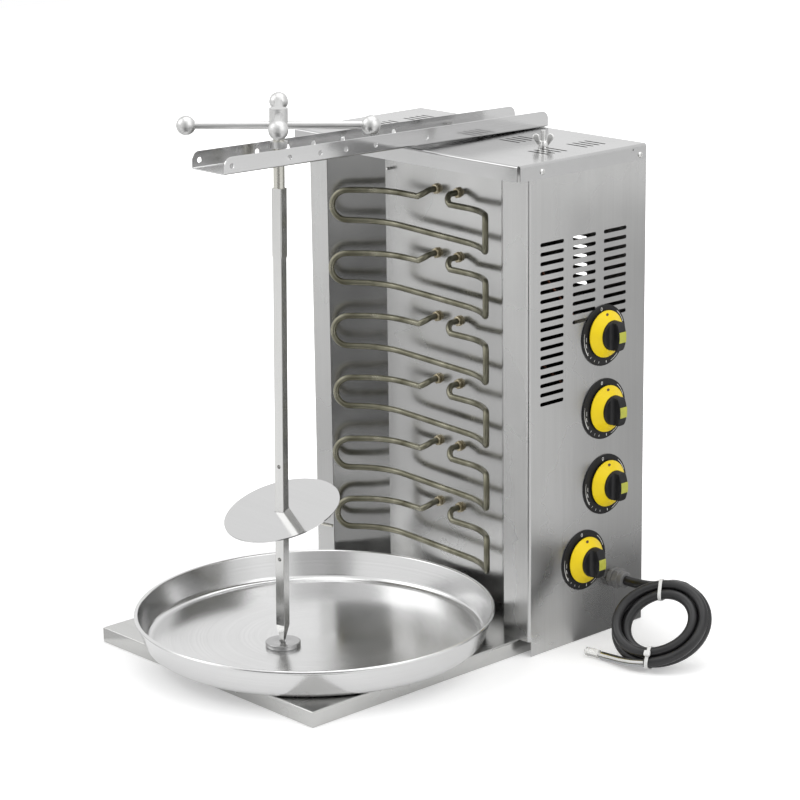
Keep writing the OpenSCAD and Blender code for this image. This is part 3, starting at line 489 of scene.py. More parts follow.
def smoothed(path, step):
    """A Catmull-Rom curve through the points, sampled about every step."""
    padded = np.concatenate([[2 * path[0] - path[1]], path, [2 * path[-1] - path[-2]]])
    out = []
    for a, b, c, d in zip(padded, padded[1:], padded[2:], padded[3:]):
        count = max(2, int(round(np.linalg.norm(c - b) / step)))
        t = np.linspace(0, 1, count, endpoint=False)[:, None]
        out.append(0.5 * (2 * b + (c - a) * t + (2 * a - 5 * b + 4 * c - d) * t ** 2
                          + (3 * b - a - 3 * c + d) * t ** 3))
    return np.concatenate(out + [path[-1:]])


cord_path = np.concatenate([smoothed(lead, 4 * MM)[:-1], [coil_first], loops, [coil_last]])

# %% [markdown]
# ## Rubber, nylon and core insulation
# The sheath is extruded, so it carries faint lines along its length and a dull bloom. The
# pattern follows the cord through an attribute with the place along and around it, because
# Object coordinates would cut through the coil like a block of wood.

# %% Cord finishes
def sheath(name, colour, bloom, rough):
    """Extruded rubber or plastic: lines along it, and a paler bloom in patches."""
    return patterned(name, colour, rough, grain, run_place, (colour, bloom), ("Haze", "Haze"),
                     Along=(0.04, 1, 1), Fineness=900.0, Depth=0.25, Haze_Size=22.0)[0]


cord_rubber = sheath("cord_rubber", (0.010, 0.010, 0.011), (0.022, 0.022, 0.023), (0.28, 0.40))
tie_nylon = moulding("tie_nylon", (0.80, 0.80, 0.79), (0.35, 0.5), (0.74, 0.74, 0.72))
core_colours = {
    "brown": (0.16, 0.06, 0.025), "grey": (0.40, 0.41, 0.42), "black": (0.03, 0.03, 0.03),
    "yellow": (0.72, 0.56, 0.03), "white": (0.70, 0.70, 0.69)}
core_finish = {name: sheath(f"core_{name}", c, tuple(min(1, v * 1.15) for v in c), (0.3, 0.42))
               for name, c in core_colours.items()}
sleeve_clear, tree, shader = blank_material("sleeve_clear", (0.9, 0.9, 0.88), 0.0, 0.22)
shader.inputs["Transmission Weight"].default_value = 0.75
shader.inputs["IOR"].default_value = 1.45
out = use_group(tree, moulded, Vector=object_place(tree), Grain=400.0, Depth=0.5)
link(tree, out["Normal"], shader.inputs["Normal"])
print("cord finishes:", cord_rubber.name, tie_nylon.name, sleeve_clear.name, *core_finish)

# %% Cord, ties, cores and sleeve
cord_grid = tube(cord_path, CORD_D / 2, 32)
cord = piece("power_cord", [cord_grid], cord_rubber, "housing",
             ("cord_lead", "cord_coil"), run=run_of(cord_grid[0], CORD_D / 2))

TIE_W, TIE_T, TIE_GAP = 4.4 * MM, 1.2 * MM, 0.6 * MM


def rounded_loop(width, height, radius, steps=9):
    """A closed outline with four round corners, as [x, z] points."""
    x, z = width / 2 - radius, height / 2 - radius
    corners = [((x, z), 0), ((-x, z), 90), ((-x, -z), 180), ((x, -z), 270)]
    return np.concatenate([corner(c, radius, a, a + 90, steps) for c, a in corners])


def band(outline, width, thickness, edge=0.3 * MM):
    """A flat strap round an outline: at each outline point stands the strap's own small
    rounded rectangle, its long side along y."""
    ahead = unit(np.roll(outline, -1, 0) - np.roll(outline, 1, 0))
    outward = np.stack([ahead[:, 1], -ahead[:, 0]], -1)
    section = rounded_loop(thickness, width, edge, 4)
    x = outline[:, None, 0] + outward[:, None, 0] * section[None, :, 0]
    z = outline[:, None, 1] + outward[:, None, 1] * section[None, :, 0]
    return np.stack([x, np.broadcast_to(section[None, :, 1], x.shape), z], -1)


def at_coil(points, angle):
    """Local points with x outwards from the coil's middle and z up through its layers."""
    a = math.radians(angle)
    flat = moved(points, (0, 0, 0), (math.cos(a), math.sin(a), 0), (-math.sin(a), math.cos(a), 0),
                 (0, 0, 1))
    return coil_place(flat.reshape(-1, 3)).reshape(points.shape)


def tie_grid(angle):
    """A tie round all strands that cross an angle. Seen from direction n, the farthest strand
    is the one whose centre c has the largest c . n, so c + r n walks round their hull."""
    f = COIL_START - angle + 360.0 * np.arange(COIL_TURNS + 1)
    flat = coil_flat(f[(f > -3) & (f < COIL_FULL + 3)])
    centres = np.stack([np.hypot(flat[:, 0], flat[:, 1]), flat[:, 2]], -1)
    turn = np.linspace(0, 2 * np.pi, 96, endpoint=False)
    n = np.stack([np.cos(turn), np.sin(turn)], -1)
    farthest = centres[np.argmax(n @ centres.T, axis=1)]
    return at_coil(band(farthest + (CORD_D / 2 + TIE_GAP + TIE_T / 2) * n, TIE_W, TIE_T),
                   angle), True, True


def soft_block(size, centre, n=6, steps=25):
    """A small moulded block: x, y and z follow a superellipsoid of high power."""
    u = np.linspace(-np.pi / 2, np.pi / 2, steps)[:, None]
    v = np.linspace(-np.pi, np.pi, 2 * steps, endpoint=False)[None, :]

    def power(value):
        return np.sign(value) * np.abs(value) ** (2 / n)

    shape = np.stack([power(np.cos(u)) * power(np.cos(v)), power(np.cos(u)) * power(np.sin(v)),
                      power(np.sin(u)) + 0 * v], -1)
    return shape * np.array(size) / 2 + np.array(centre)


TIE_TOP, TIE_BOTTOM = 95, -91
lock_z = (TURN_PITCH + CORD_D) / 2 + TIE_GAP + TIE_T + 2.3 * MM
lock = at_coil(soft_block(mm(7, 8, 5), (50.5 * MM, 0, lock_z)), TIE_BOTTOM)
ties = piece("cable_ties_white", [tie_grid(TIE_TOP), tie_grid(TIE_BOTTOM), (lock, False, True)],
             tie_nylon, "housing", ("cable_ties",))

CORE_R = 1.7 * MM
CORE_OFFSETS = {"yellow": (0, 0), "black": (3.6, 1.2), "white": (-3.6, 1.2),
                "brown": (1.9, -3.4), "grey": (-1.9, -3.4)}
SLEEVE_AT, SLEEVE_R, SLEEVE_L = mm(277, 60.5, 6.5), 5.6 * MM, 21 * MM
sleeve_way = unit(np.array([-1, -0.16, 0]))


def bezier(a, b, c, d, count):
    """Cubic Bezier curve through a and d, led by b and c."""
    t = np.linspace(0, 1, count)[:, None]
    return (1 - t) ** 3 * a + 3 * (1 - t) ** 2 * t * b + 3 * (1 - t) * t ** 2 * c + t ** 3 * d


def beside(way, aside, rise):
    """A step to the side of a direction, and a step up, in millimetres."""
    return aside * MM * unit(np.cross(way, [0, 0, 1])) + np.array([0, 0, rise * MM])


for name, (aside, rise) in CORE_OFFSETS.items():
    start = coil_last + 0.2 * MM * coil_out + beside(coil_out, aside, rise)
    stop = SLEEVE_AT - 0.6 * MM * sleeve_way + beside(sleeve_way, aside, rise)
    route = bezier(start, start + 24 * MM * coil_out, stop - 24 * MM * sleeve_way, stop, 30)
    grid = tube(route, CORE_R, 16, 0.3 * MM)
    piece(f"core_{name}_wire", [grid], core_finish[name], "housing",
                       ("wire_ends",), run=run_of(grid[0], CORE_R))

sleeve = piece("end_sleeve", [tube(SLEEVE_AT + np.linspace(0, 1, 12)[:, None] * SLEEVE_L
                                   * sleeve_way, SLEEVE_R, 32, 1.2 * MM)],
               sleeve_clear, "housing", ("wire_sleeve",))

# %% [markdown]
# ## Stainless finishes
# The sheets are brushed in different directions: panels upright, the lid from side to side.
# A mapping that squeezes one axis turns round noise into long streaks, which is cheaper than
# drawing lines and never repeats. The pan was spun on a lathe, so its grain runs in rings.

# %% Sheet and bar finishes
UPRIGHT, ACROSS, DEEP = (1, 1, 0.012), (0.012, 1, 1), (1, 0.012, 1)
panel_steel = brushed("panel_steel", (0.54, 0.54, 0.535), (0.24, 0.36), UPRIGHT)
lid_steel = brushed("lid_steel", (0.52, 0.52, 0.52), (0.13, 0.24), ACROSS, contrast=0.08)
base_steel = brushed("base_steel", (0.56, 0.56, 0.55), (0.18, 0.32), ACROSS)
reflector_steel = brushed("reflector_steel", (0.52, 0.52, 0.515), (0.14, 0.30), UPRIGHT,
                          contrast=0.08, haze_size=6.0)
channel_steel = brushed("channel_steel", (0.66, 0.66, 0.66), (0.08, 0.20), DEEP, contrast=0.08)
disc_steel = brushed("disc_steel", (0.64, 0.64, 0.64), (0.07, 0.14), ACROSS, contrast=0.05)
bar_steel = brushed("bar_steel", (0.62, 0.62, 0.61), (0.12, 0.26), UPRIGHT, fineness=1400.0)


def axis_of(name):
    """Where a round node's upright axis stands: the middle of its box."""
    box_low, box_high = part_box(name)
    return ((box_low.x + box_high.x) / 2, (box_low.y + box_high.y) / 2, 0)


pan_metal = turned_metal("pan_metal", (0.70, 0.70, 0.70), (0.14, 0.24), axis_of("drip_pan"),
                         contrast=0.14, anisotropic=0.6)
dress(panel_steel, "control_side_panel", "left_side_panel", "back_cover")
dress(lid_steel, "top_cap")
dress(base_steel, "base_tray")
dress(reflector_steel, "rear_reflector", "left_reflector", "right_reflector")
dress(channel_steel, "top_beam")
dress(disc_steel, "meat_disc")
dress(bar_steel, "skewer_bar", "drive_socket")
dress(pan_metal, "drip_pan")

# %% Turned and plated parts
rod_metal = brushed("rod_metal", (0.60, 0.59, 0.54), (0.22, 0.32), UPRIGHT, contrast=0.06)
handle_metal = brushed("handle_metal", (0.60, 0.60, 0.595), (0.30, 0.44), (1, 1, 1),
                       fineness=700.0, depth=0.25, contrast=0.08, haze_size=40.0)
puck_metal = turned_metal("puck_metal", (0.44, 0.44, 0.44), (0.20, 0.32), axis_of("tip_puck"))
plated = brushed("plated", (0.72, 0.72, 0.71), (0.10, 0.20), (1, 1, 1), contrast=0.05,
                 haze_size=80.0)
dress(rod_metal, "spindle_rod", "retaining_pin")
dress(handle_metal, "handle_hub", "handle_bar_lower", "handle_bar_upper", "handle_balls",
      "rod_collar")
# The loose cup that the skewer's tip turns in stands on the pan's floor
CUP_AT = mm(-1, -232.5, 0)
cup_half = np.concatenate([[[0.01, 22.6]], corner((21.9, 23.2), 0.6, -90, 0, 4),
                           corner((21.5, 27.5), 1.0, 0, 90, 6), [[4.9, 28.5]],
                           [[4.5, 28.3], [2.7, 26.1], [0.01, 26.05]]]) * MM
piece("tip_cup", [(turned(cup_half) + CUP_AT, False, True)], puck_metal, "cup",
      ("tip_puck",))
dress(plated, "wing_stud", "beam_bolts", "beam_nuts", "terminal_studs", "regulator_shaft_1",
      "regulator_shaft_2", "regulator_shaft_3", "regulator_shaft_4")

# %% [markdown]
# ## Heaters
# Each heater is one tube bent by hand, glowing hot in use, so its skin has an olive oxide, lighter
# and glossier in patches along the tube. The CAD tube has eight flat sides. Here the same route is
# walked in finer steps and swept with a true circle.

# %% Heater route
HEATER_D = 8 * MM
HEATER_X, HEATER_Y = 1 * MM, 38 * MM
TERMINAL_HALF, LEG_R = 20 * MM, 10 * MM
TERMINAL_Z, HEATER_PITCH = 145.5 * MM, 85 * MM
LEG_BACK = 76 * MM
STRAIGHT_HALF, SPLAY_R, SPLAY = 62 * MM, 79 * MM, math.radians(45)
LEFT_REACH, RIGHT_REACH, RIGHT_BULGE = 141 * MM, 112 * MM, 15 * MM
# Small differences of the hand-bent heaters: left loop, right loop, lower run, in millimetres
BENDS = ((0, 2, 1), (1, -2, 0), (-1, 1, 1), (0, -1, -1), (2, 0, 1), (-1, 1, 0))


def plan(s):
    """Plan of the heaters at arc length s from the middle: straight, a bend of SPLAY_R towards
    the front, then straight on at the splay angle."""
    a, g = np.abs(s), np.sign(s)
    turn = np.clip((a - STRAIGHT_HALF) / SPLAY_R, 0, SPLAY)
    rest = np.clip(a - STRAIGHT_HALF - SPLAY_R * SPLAY, 0, None)
    x = np.minimum(a, STRAIGHT_HALF) + SPLAY_R * np.sin(turn) + rest * math.cos(SPLAY)
    y = SPLAY_R * (1 - np.cos(turn)) + rest * math.sin(SPLAY)
    return np.stack([HEATER_X + g * x, HEATER_Y - y], -1)


def at_height(s, z):
    """Points of the heaters' bent plane: the plan at s, with a height."""
    return np.concatenate([plan(s), np.broadcast_to(z, s.shape)[:, None]], 1)


def leg_bend(side, z0, z1, t):
    """Quarter circle from a terminal's leg into an upper run, t from 0 to 1."""
    a = t * np.pi / 2
    return np.stack([HEATER_X + side * (TERMINAL_HALF + LEG_R * (1 - np.cos(a))),
                     HEATER_Y + LEG_R * (1 - np.sin(a)), z0 + (z1 - z0) * t], -1)


def hairpin(reach, bulge, low, high, t):
    """Half an ellipse beyond the reach, from the upper run (t = 0) to the lower one (t = 1)."""
    a = np.pi * t
    return at_height(reach + math.copysign(1, reach) * bulge * np.sin(a),
                     low + (high - low) * (1 + np.cos(a)) / 2)


def heater_path(i):
    """Terminal, leg, upper run, left hairpin, lower run, right hairpin, upper run, leg."""
    z = TERMINAL_Z + i * HEATER_PITCH
    left_more, right_more, lower = (b * MM for b in BENDS[i])
    left, right = LEFT_REACH + left_more, RIGHT_REACH + right_more
    upper_left, upper_right = z - 8 * MM, z - 11 * MM
    lower_left, lower_right = z - 48 * MM + lower, z - 58 * MM + lower
    s0 = TERMINAL_HALF + LEG_R
    t = np.linspace(0, 1, 17)
    legs = [np.array([[HEATER_X + side * TERMINAL_HALF, LEG_BACK, z],
                      [HEATER_X + side * TERMINAL_HALF, HEATER_Y + LEG_R + 2 * MM, z]])
            for side in (-1, 1)]
    f = np.linspace(0, 1, 61)
    return np.concatenate([
        legs[0], leg_bend(-1, z, upper_left, t[2::2]),
        at_height(-s0 - (left - s0) * t[1:], upper_left),
        hairpin(-left, (upper_left - lower_left) / 2, lower_left, upper_left, t[1:-1]),
        at_height(-left + (left + right) * f, lower_left + (lower_right - lower_left) * f),
        hairpin(right, RIGHT_BULGE, lower_right, upper_right, t[1:-1][::-1]),
        at_height(right - (right - s0) * t[:-1], upper_right),
        leg_bend(1, z, upper_right, t[::2][::-1]), legs[1][::-1]])


# %% Heater finish
heater_oxide = patterned("heater_oxide", (0.13, 0.125, 0.085), (0.42, 0.24), grain, run_place,
                         ((0.105, 0.10, 0.065), (0.28, 0.27, 0.21)), ("Haze", "Haze"), 0.85,
                         Along=(0.15, 1, 1), Fineness=500.0, Depth=0.3, Haze_Size=30.0)[0]
print("heater finish:", heater_oxide.name)

# %% Heaters
for i in range(6):
    grid = tube(heater_path(i), HEATER_D / 2, 20)
    name = f"heating_element_{i + 1}"
    piece(f"heater_tube_{i + 1}", [grid], heater_oxide, "housing", (name,),
          run=run_of(grid[0], HEATER_D / 2))

# %% [markdown]
# ## Nuts, screws and the wing nut
# A hexagon nut is a prism whose corners are cut by two flat cones. As a formula: the radius is
# the smaller of the hexagon's and the cone's, so one polar grid gives the flats, the corners
# and the curved chamfer lines that catch the light.

# %% Hexagons and screw heads
def hexagon(across, z0, z1, hole=0.0, chamfer=0.9 * MM, sides=72):
    """Chamfered hexagon: r = min(apothem / cos(angle from the flat's middle), cone)."""
    a = np.linspace(0, 2 * np.pi, sides, endpoint=False)
    flat = across / 2 / np.cos((a + np.pi / 6) % (np.pi / 3) - np.pi / 6)
    reach = across / math.sqrt(3)
    steps = np.array([0, 0.35, 0.7, 1.0]) * chamfer
    z = np.r_[z0 + steps, z1 - steps[::-1]]
    cone = np.r_[reach - (chamfer - steps) * 1.7, (reach - (chamfer - steps) * 1.7)[::-1]]
    r = np.minimum(flat[None], cone[:, None])
    inner = np.full_like(a, hole)[None]
    r = np.concatenate([inner, r, inner] if hole else [inner * 0, r, inner * 0])
    z = np.r_[z0, z, z1]
    return np.stack([r * np.cos(a), r * np.sin(a), z[:, None] + 0 * a], -1), bool(hole), True


def pan_head(radius=4.0 * MM, height=2.0 * MM, slot=0.55 * MM, depth=1.1 * MM):
    """A domed screw head with a cross recess: the dome's height less a cross-shaped well."""
    r = np.r_[np.linspace(0, 0.62, 17), np.linspace(0.66, 1, 9)][:, None] * radius
    a = np.linspace(0, 2 * np.pi, 64, endpoint=False)[None]
    x, y = r * np.cos(a), r * np.sin(a)
    dome = height * np.sqrt(np.clip(1 - (r / radius) ** 2.6, 0, 1))
    off = np.minimum(np.abs(x), np.abs(y))
    well = 1 / (1 + np.exp((off - slot) / (0.08 * MM))) / (1 + np.exp((r - 2.1 * MM) / (0.1 * MM)))
    top = np.stack([x, y, dome + 0 * a - depth * well], -1)
    skirt = np.stack([x[-1], y[-1], 0 * a[0] - 1.0 * MM], -1)[None]
    foot = np.stack([0 * x[-1], 0 * a[0], 0 * a[0] - 1.0 * MM], -1)[None]
    return np.concatenate([top, skirt, foot])


LID_SCREWS = ((22, 627), (199.7, 625))   # y and z, in millimetres, on either side of the lid
LID_LEFT, LID_RIGHT, BACK = -208.2 * MM, 211.2 * MM, 212.6 * MM
screws = []
for y, z in LID_SCREWS:
    screws.append(moved(pan_head(), (LID_RIGHT, y * MM, z * MM), (0, 1, 0), (0, 0, 1), (1, 0, 0)))
    screws.append(moved(pan_head(), (LID_LEFT, y * MM, z * MM), (0, -1, 0), (0, 0, 1), (-1, 0, 0)))
for x in (-190, 0, 190):                 # the back cover's columns and rows of screws
    for z in (40, 600):
        screws.append(moved(pan_head(), (x * MM, BACK, z * MM), (-1, 0, 0), (0, 0, 1), (0, 1, 0)))
REFLECTOR_Y = 63 * MM
BOLT_AT = np.array([-106 * MM, REFLECTOR_Y, 586.5 * MM])
bolt_end = tube(BOLT_AT + np.linspace(-9, 5, 8)[:, None] * mm(0, 1, 0), 2 * MM, 20)
bolt_nut = hexagon(7 * MM, 1 * MM, 4 * MM)
bolt_nut = (moved(bolt_nut[0], BOLT_AT, (1, 0, 0), (0, 0, -1), (0, 1, 0)), False, True)
piece("panel_screws", [(s, False, True) for s in screws] + [bolt_end, bolt_nut], plated,
      "housing", ("sheet_screws",))

# %% Heater nuts
brass = patterned("aged_brass", (0.5, 0.42, 0.28), (0.45, 0.22), moulded, object_place,
                  ((0.36, 0.31, 0.20), (0.66, 0.60, 0.45)), metallic=0.9, Grain=900.0,
                  Depth=0.4)[0]
heater_nuts = []
for i in range(6):
    for side in (-1, 1):
        at = (HEATER_X + side * TERMINAL_HALF, REFLECTOR_Y, TERMINAL_Z + i * HEATER_PITCH)
        nut = hexagon(12 * MM, -5 * MM, -0.9 * MM, HEATER_D / 2 + 0.1 * MM)[0]
        washer = turned(np.array([[4.1, -0.9], [6.9, -0.9], [6.9, 0.0], [4.1, 0.0]]) * MM, 48)
        heater_nuts += [(moved(g, at, (1, 0, 0), (0, 0, -1), (0, 1, 0)), True, True)
                        for g in (nut, washer)]
piece("heater_nuts", heater_nuts, brass, "housing", ("element_nuts",))

# %% Wing nut
WING_AT = mm(138, 99, 638.5)
WING_TURN = math.radians(45)


def ear(side, steps=48):
    """One wing of the nut: a leaf outline swelling to 1.3 mm each way, rounded at its rim. The
    rows shrink the outline towards its middle, and the thickness follows a quarter ellipse."""
    outline = np.concatenate([mm([3, 1], [6, 2]), corner(mm(9, 13), 4.5 * MM, -40, 150, 15),
                              mm([4, 8])])
    outline = smoothed(np.concatenate([outline, outline[:1]]), 0.8 * MM)[:-1]
    middle = outline.mean(0)
    t = np.linspace(-np.pi / 2, np.pi / 2, 17)
    scale = np.abs(np.cos(t)) ** 0.35
    scale[[0, -1]] = 0
    flat = middle + scale[:, None, None] * (outline - middle)
    thick = 1.3 * MM * np.sign(t) * np.abs(np.sin(t)) ** 0.6
    points = np.stack([side * flat[..., 0], np.broadcast_to(thick[:, None], flat.shape[:2]),
                       flat[..., 1]], -1)
    return points, False, True


hub = np.concatenate([[[3.05, 0.0]], corner((6.6, 0.4), 0.4, -90, 0, 4),
                      corner((4.6, 8.4), 0.6, 0, 90, 5), [[3.05, 9.0]]]) * MM
wing_axes = ((math.cos(WING_TURN), math.sin(WING_TURN), 0),
             (-math.sin(WING_TURN), math.cos(WING_TURN), 0), (0, 0, 1))
piece("wing_nut_chrome",
      [(moved(turned(hub, 48), WING_AT, *wing_axes), True, True)]
      + [(moved(ear(side)[0], WING_AT, *wing_axes), False, True) for side in (-1, 1)],
      plated, "housing", ("wing_nut",))

# %% [markdown]
# ## Dials and knobs
# A dial is a black disc with a white generic scale. A yellow skirt and a black grip turn on
# it. The marks are real geometry, a tenth of a millimetre proud like screen print, so they
# stay crisp at any size. The grip's finger bar rises out of a low boss through a concave
# sweep: one height formula over the boss gives both.

# %% Dial frames and finishes
# Where the shafts leave the panel: y and z, in millimetres
DIALS = ((134.9, 403.6), (137.7, 304.5), (140.9, 203.6), (100.5, 108.9))
# The stuck-on rings sit a little off their shafts, to the back and up
RING_OFF = ((-0.5, -2.4), (-1.9, -0.6), (-2.2, -1.3), (-0.5, -0.8))
DIAL_T, PRINT_FOOT, PRINT_TOP = 2 * MM, -0.2 * MM, 0.08 * MM    # print, from the dial's face
SKIRT_R, SKIRT_BACK, SKIRT_EDGE, SKIRT_FRONT, SKIRT_TOP_R = 30.5, 4.6, 6.0, 16.5, 19.7
CONE = math.atan2(SKIRT_FRONT - SKIRT_EDGE, SKIRT_R - SKIRT_TOP_R)
KNOB_R, KNOB_OUT, FINGER_HALF, CROWN_R = 19.5 * MM, 34 * MM, 6.5 * MM, 42.5 * MM
BAR_H, BOSS_H = 17.5 * MM, 3.6 * MM      # the grip's finger bar and boss, over the skirt
dial_black = moulding("dial_black", (0.010, 0.010, 0.011), (0.40, 0.55), (0.016, 0.016, 0.017),
                      specular=0.3)
knob_black = moulding("knob_black", (0.012, 0.012, 0.013), (0.36, 0.50), (0.020, 0.020, 0.021),
                      specular=0.35)
skirt_yellow = moulding("skirt_yellow", (0.98, 0.73, 0.008), (0.34, 0.44), (0.94, 0.69, 0.010),
                        specular=0.3)
print_white = moulding("print_white", (0.80, 0.80, 0.78), (0.4, 0.5), (0.70, 0.70, 0.68))
print_dark = moulding("print_dark", (0.10, 0.045, 0.02), (0.4, 0.5), (0.07, 0.03, 0.02))
label_yellow = moulding("label_yellow", (0.52, 0.52, 0.06), (0.35, 0.45), (0.42, 0.44, 0.06))


def on_dial(points, dial):
    """Local points with x to the back, y up and z out of the panel."""
    y, z = DIALS[dial]
    return moved(points, (PANEL_X, y * MM, z * MM), (0, 1, 0), (0, 0, 1), (1, 0, 0))


# %% Dial rings and marks
def dial_profile():
    """Half section of a dial ring, from its bore round to its back."""
    return np.concatenate([[[7.8, 0]], [[39.7, 0]], corner((39.05, 1.3), 0.7, 0, 90, 5),
                           [[7.8, 2]]]) * MM


def mark(r0, r1, a0, a1, taper=1.0, steps=12):
    """A printed mark between two radii and two angles. Its inner radius moves to r0 + (r1 - r0)
    (1 - taper) at the far end, so a taper above or below 1 makes a wedge."""
    a = np.radians(np.linspace(a0, a1, steps))[:, None]
    t = np.linspace(0, 1, steps)[:, None]
    inner = r1 - (r1 - r0) * (1 + (taper - 1) * t)
    r = np.concatenate([inner, inner * 0 + r1, inner * 0 + r1, inner], 1) * MM
    z = DIAL_T + np.array([PRINT_FOOT] * 2 + [PRINT_TOP] * 2)[None] + 0 * r
    grid = np.stack([r * np.cos(a), r * np.sin(a), z], -1)
    ends = [np.broadcast_to(grid[i].mean(0), grid[:1].shape) for i in (0, -1)]
    return np.concatenate([ends[0], grid, ends[1]])


def zero(r, angle):
    """A small upright nought printed at radius r."""
    a = np.linspace(0, 2 * np.pi, 24, endpoint=False)[:, None]
    line = np.array([-0.35, 0.35, 0.35, -0.35]) * MM
    z = DIAL_T + np.array([PRINT_FOOT] * 2 + [PRINT_TOP] * 2) + 0 * a
    x = (1.3 * MM + line) * np.cos(a) + r * MM * math.cos(math.radians(angle))
    y = (2.0 * MM + line) * np.sin(a) + r * MM * math.sin(math.radians(angle))
    return np.stack([x, y, z], -1)


def on_ring(points, dial):
    """Local points of a dial ring, which sits a little off the shaft."""
    return on_dial(points + mm(*RING_OFF[dial], 0), dial)


# Inner and outer radius, first and last angle, and the wedge's taper
MARKS = [(36.8, 37.1, 168, 216, 4.0), (33.6, 34.5, 190, 199), (32.6, 33.2, 176, 186)]
MARKS += [(34.0, 36.6, a - 0.45, a + 0.45) for a in (212, 226, 240, 254)]
MARKS += [(33.6, 36.8, 276, 277.8), (36.6, 37.2, 290, 312), (36.6, 37.3, 20, 50)]
ring_grids, mark_grids = [], []
for dial in range(4):
    ring_grids.append((on_ring(turned(dial_profile(), 128), dial), True, True))
    mark_grids += [(on_ring(mark(*m), dial), False, True) for m in MARKS]
    mark_grids.append((on_ring(zero(35.2, 98), dial), True, True))
piece("dial_discs", ring_grids, dial_black, "housing", ("dial_rings",))
piece("dial_marks", mark_grids, print_white, "housing")


# %% Knobs
def skirt_profile():
    """Half section of a yellow skirt: a soft upright rim, a cone up to the grip, and a bore."""
    back = corner((SKIRT_R - 0.4, SKIRT_BACK + 0.4), 0.4, -90, 0, 4)
    return np.concatenate([[[3.05, SKIRT_BACK]], back,
                           corner((SKIRT_R - 0.7, SKIRT_EDGE - 0.3), 0.7, 0, 45, 5),
                           [[SKIRT_TOP_R + 0.05, SKIRT_FRONT - 0.05]], [[3.05, SKIRT_FRONT]]]) * MM


def bar_section():
    """Section of the grip as [x, height] from the middle out: the finger bar's flat top, a
    rounded edge, an upright side and a concave foot that sweeps into the boss."""
    flat = [[x * MM, BAR_H] for x in (0.01, 2, 4)]
    edge = corner((FINGER_HALF - 1.2 * MM, BAR_H - 1.2 * MM), 1.2 * MM, 90, 0, 6)
    side = [[FINGER_HALF, z * MM] for z in (14, 11, 8.6)]
    foot = corner((FINGER_HALF + 5 * MM, BOSS_H + 5 * MM), 5 * MM, 180, 270, 9)
    out = [[x * MM, BOSS_H] for x in (13, 15, 16.6, 17.9, 18.8, 19.3, 19.5)]
    return np.concatenate([flat, edge, side, foot, out])


def crown(y):
    """How far the finger bar's arched front falls at y: R - sqrt(R^2 - y^2)."""
    return CROWN_R - np.sqrt(CROWN_R ** 2 - y ** 2)


def grip():
    """The knob: rows walk up the rim, over the top and down again at a constant x. The height
    is the section's, less the crown's fall in proportion, and narrows the plan a little."""
    half = bar_section()
    section = np.concatenate([half[::-1] * [-1, 1], half])
    x, bar = section[:, 0], section[:, 1]
    reach = np.sqrt(np.clip(KNOB_R ** 2 - x ** 2, 0, None))
    share = np.clip((bar - BOSS_H) / (BAR_H - BOSS_H), 0, 1)
    rim = bar - crown(reach) * share
    edge = np.minimum(0.9 * MM, reach)
    up = np.linspace(0, 1, 9)[:, None] * (rim - edge)
    turn = np.radians(np.linspace(15, 90, 6))[:, None]
    round_y, round_z = reach - edge + edge * np.cos(turn), rim - edge + edge * np.sin(turn)
    over_y = np.linspace(0.96, -0.96, 41)[:, None] * (reach - edge)
    over_z = bar - crown(over_y) * share
    up_y = np.broadcast_to(reach, up.shape)
    y = np.concatenate([up_y, round_y, over_y, -round_y[::-1], -up_y])
    z = np.concatenate([up, round_z, over_z, round_z[::-1], up[::-1]])
    narrow = 1 - 0.067 * z / BAR_H
    return np.stack([np.broadcast_to(x, y.shape), y * narrow, z + SKIRT_FRONT * MM], -1)


def end_label():
    """A plain label that follows the arched front: a thin flat section walked along y."""
    y = np.linspace(-6.95, 6.95, 15)[:, None] * MM
    x = np.array([[-6.1, 6.1, 6.1, -6.1]]) * MM + 0 * y
    z = KNOB_OUT - crown(y) + np.array([[-0.1, -0.1, 0.16, 0.16]]) * MM
    grid = np.stack([x, y + 0 * x, z], -1)
    ends = [np.broadcast_to(grid[i].mean(0), grid[:1].shape) for i in (0, -1)]
    return np.concatenate([ends[0], grid, ends[1]])


def flat_plate(half_x, half_y, centre, thickness, n=5, steps=32):
    """A thin plate with a superellipse outline, its rim upright, closed by two middles."""
    a = np.linspace(0, 2 * np.pi, steps, endpoint=False)
    ring = np.stack([np.sign(np.cos(a)) * np.abs(np.cos(a)) ** (2 / n) * half_x,
                     np.sign(np.sin(a)) * np.abs(np.sin(a)) ** (2 / n) * half_y, 0 * a], -1)
    lift = np.array([0, 0, thickness])
    rows = [0 * ring, ring, ring + lift, 0 * ring + lift]
    return np.stack(rows) + np.array(centre)


for dial in range(4):
    number, body = dial + 1, f"knob_{dial + 1}"
    piece(f"yellow_disc_{number}", [(on_dial(turned(skirt_profile(), 128), dial), True, True)],
          skirt_yellow, body, (f"knob_skirt_{number}",))
    piece(f"finger_grip_{number}", [(on_dial(grip(), dial), True, False)],
          knob_black, body, (f"knob_grip_{number}",), sharp=50)
    # The pointer lies on the cone: one axis round it, one down its slope
    a, tilt = math.radians(97), math.radians(-20)
    outward = np.array([math.cos(a), math.sin(a), 0])
    round_it = np.array([-math.sin(a), math.cos(a), 0])
    slope = outward * math.cos(CONE) - np.array([0, 0, math.sin(CONE)])
    spot = moved(flat_plate(2.75 * MM, 1.7 * MM, (0, 0, 0), 0.12 * MM, 2),
                 outward * 26.6 * MM + mm(0, 0, 9.82),
                 round_it * math.cos(tilt) + slope * math.sin(tilt),
                 slope * math.cos(tilt) - round_it * math.sin(tilt), np.cross(round_it, slope))
    piece(f"pointer_spot_{number}", [(on_dial(spot, dial), False, True)], print_dark, body)
    piece(f"grip_mark_{number}", [(on_dial(end_label(), dial), False, True)], label_yellow, body)

# %% [markdown]
# ## Gland
# A grey nylon gland: a hexagon against the panel, a collar, a second hexagon and a dome that
# grips the cord. Each hexagon is the chamfered formula again.

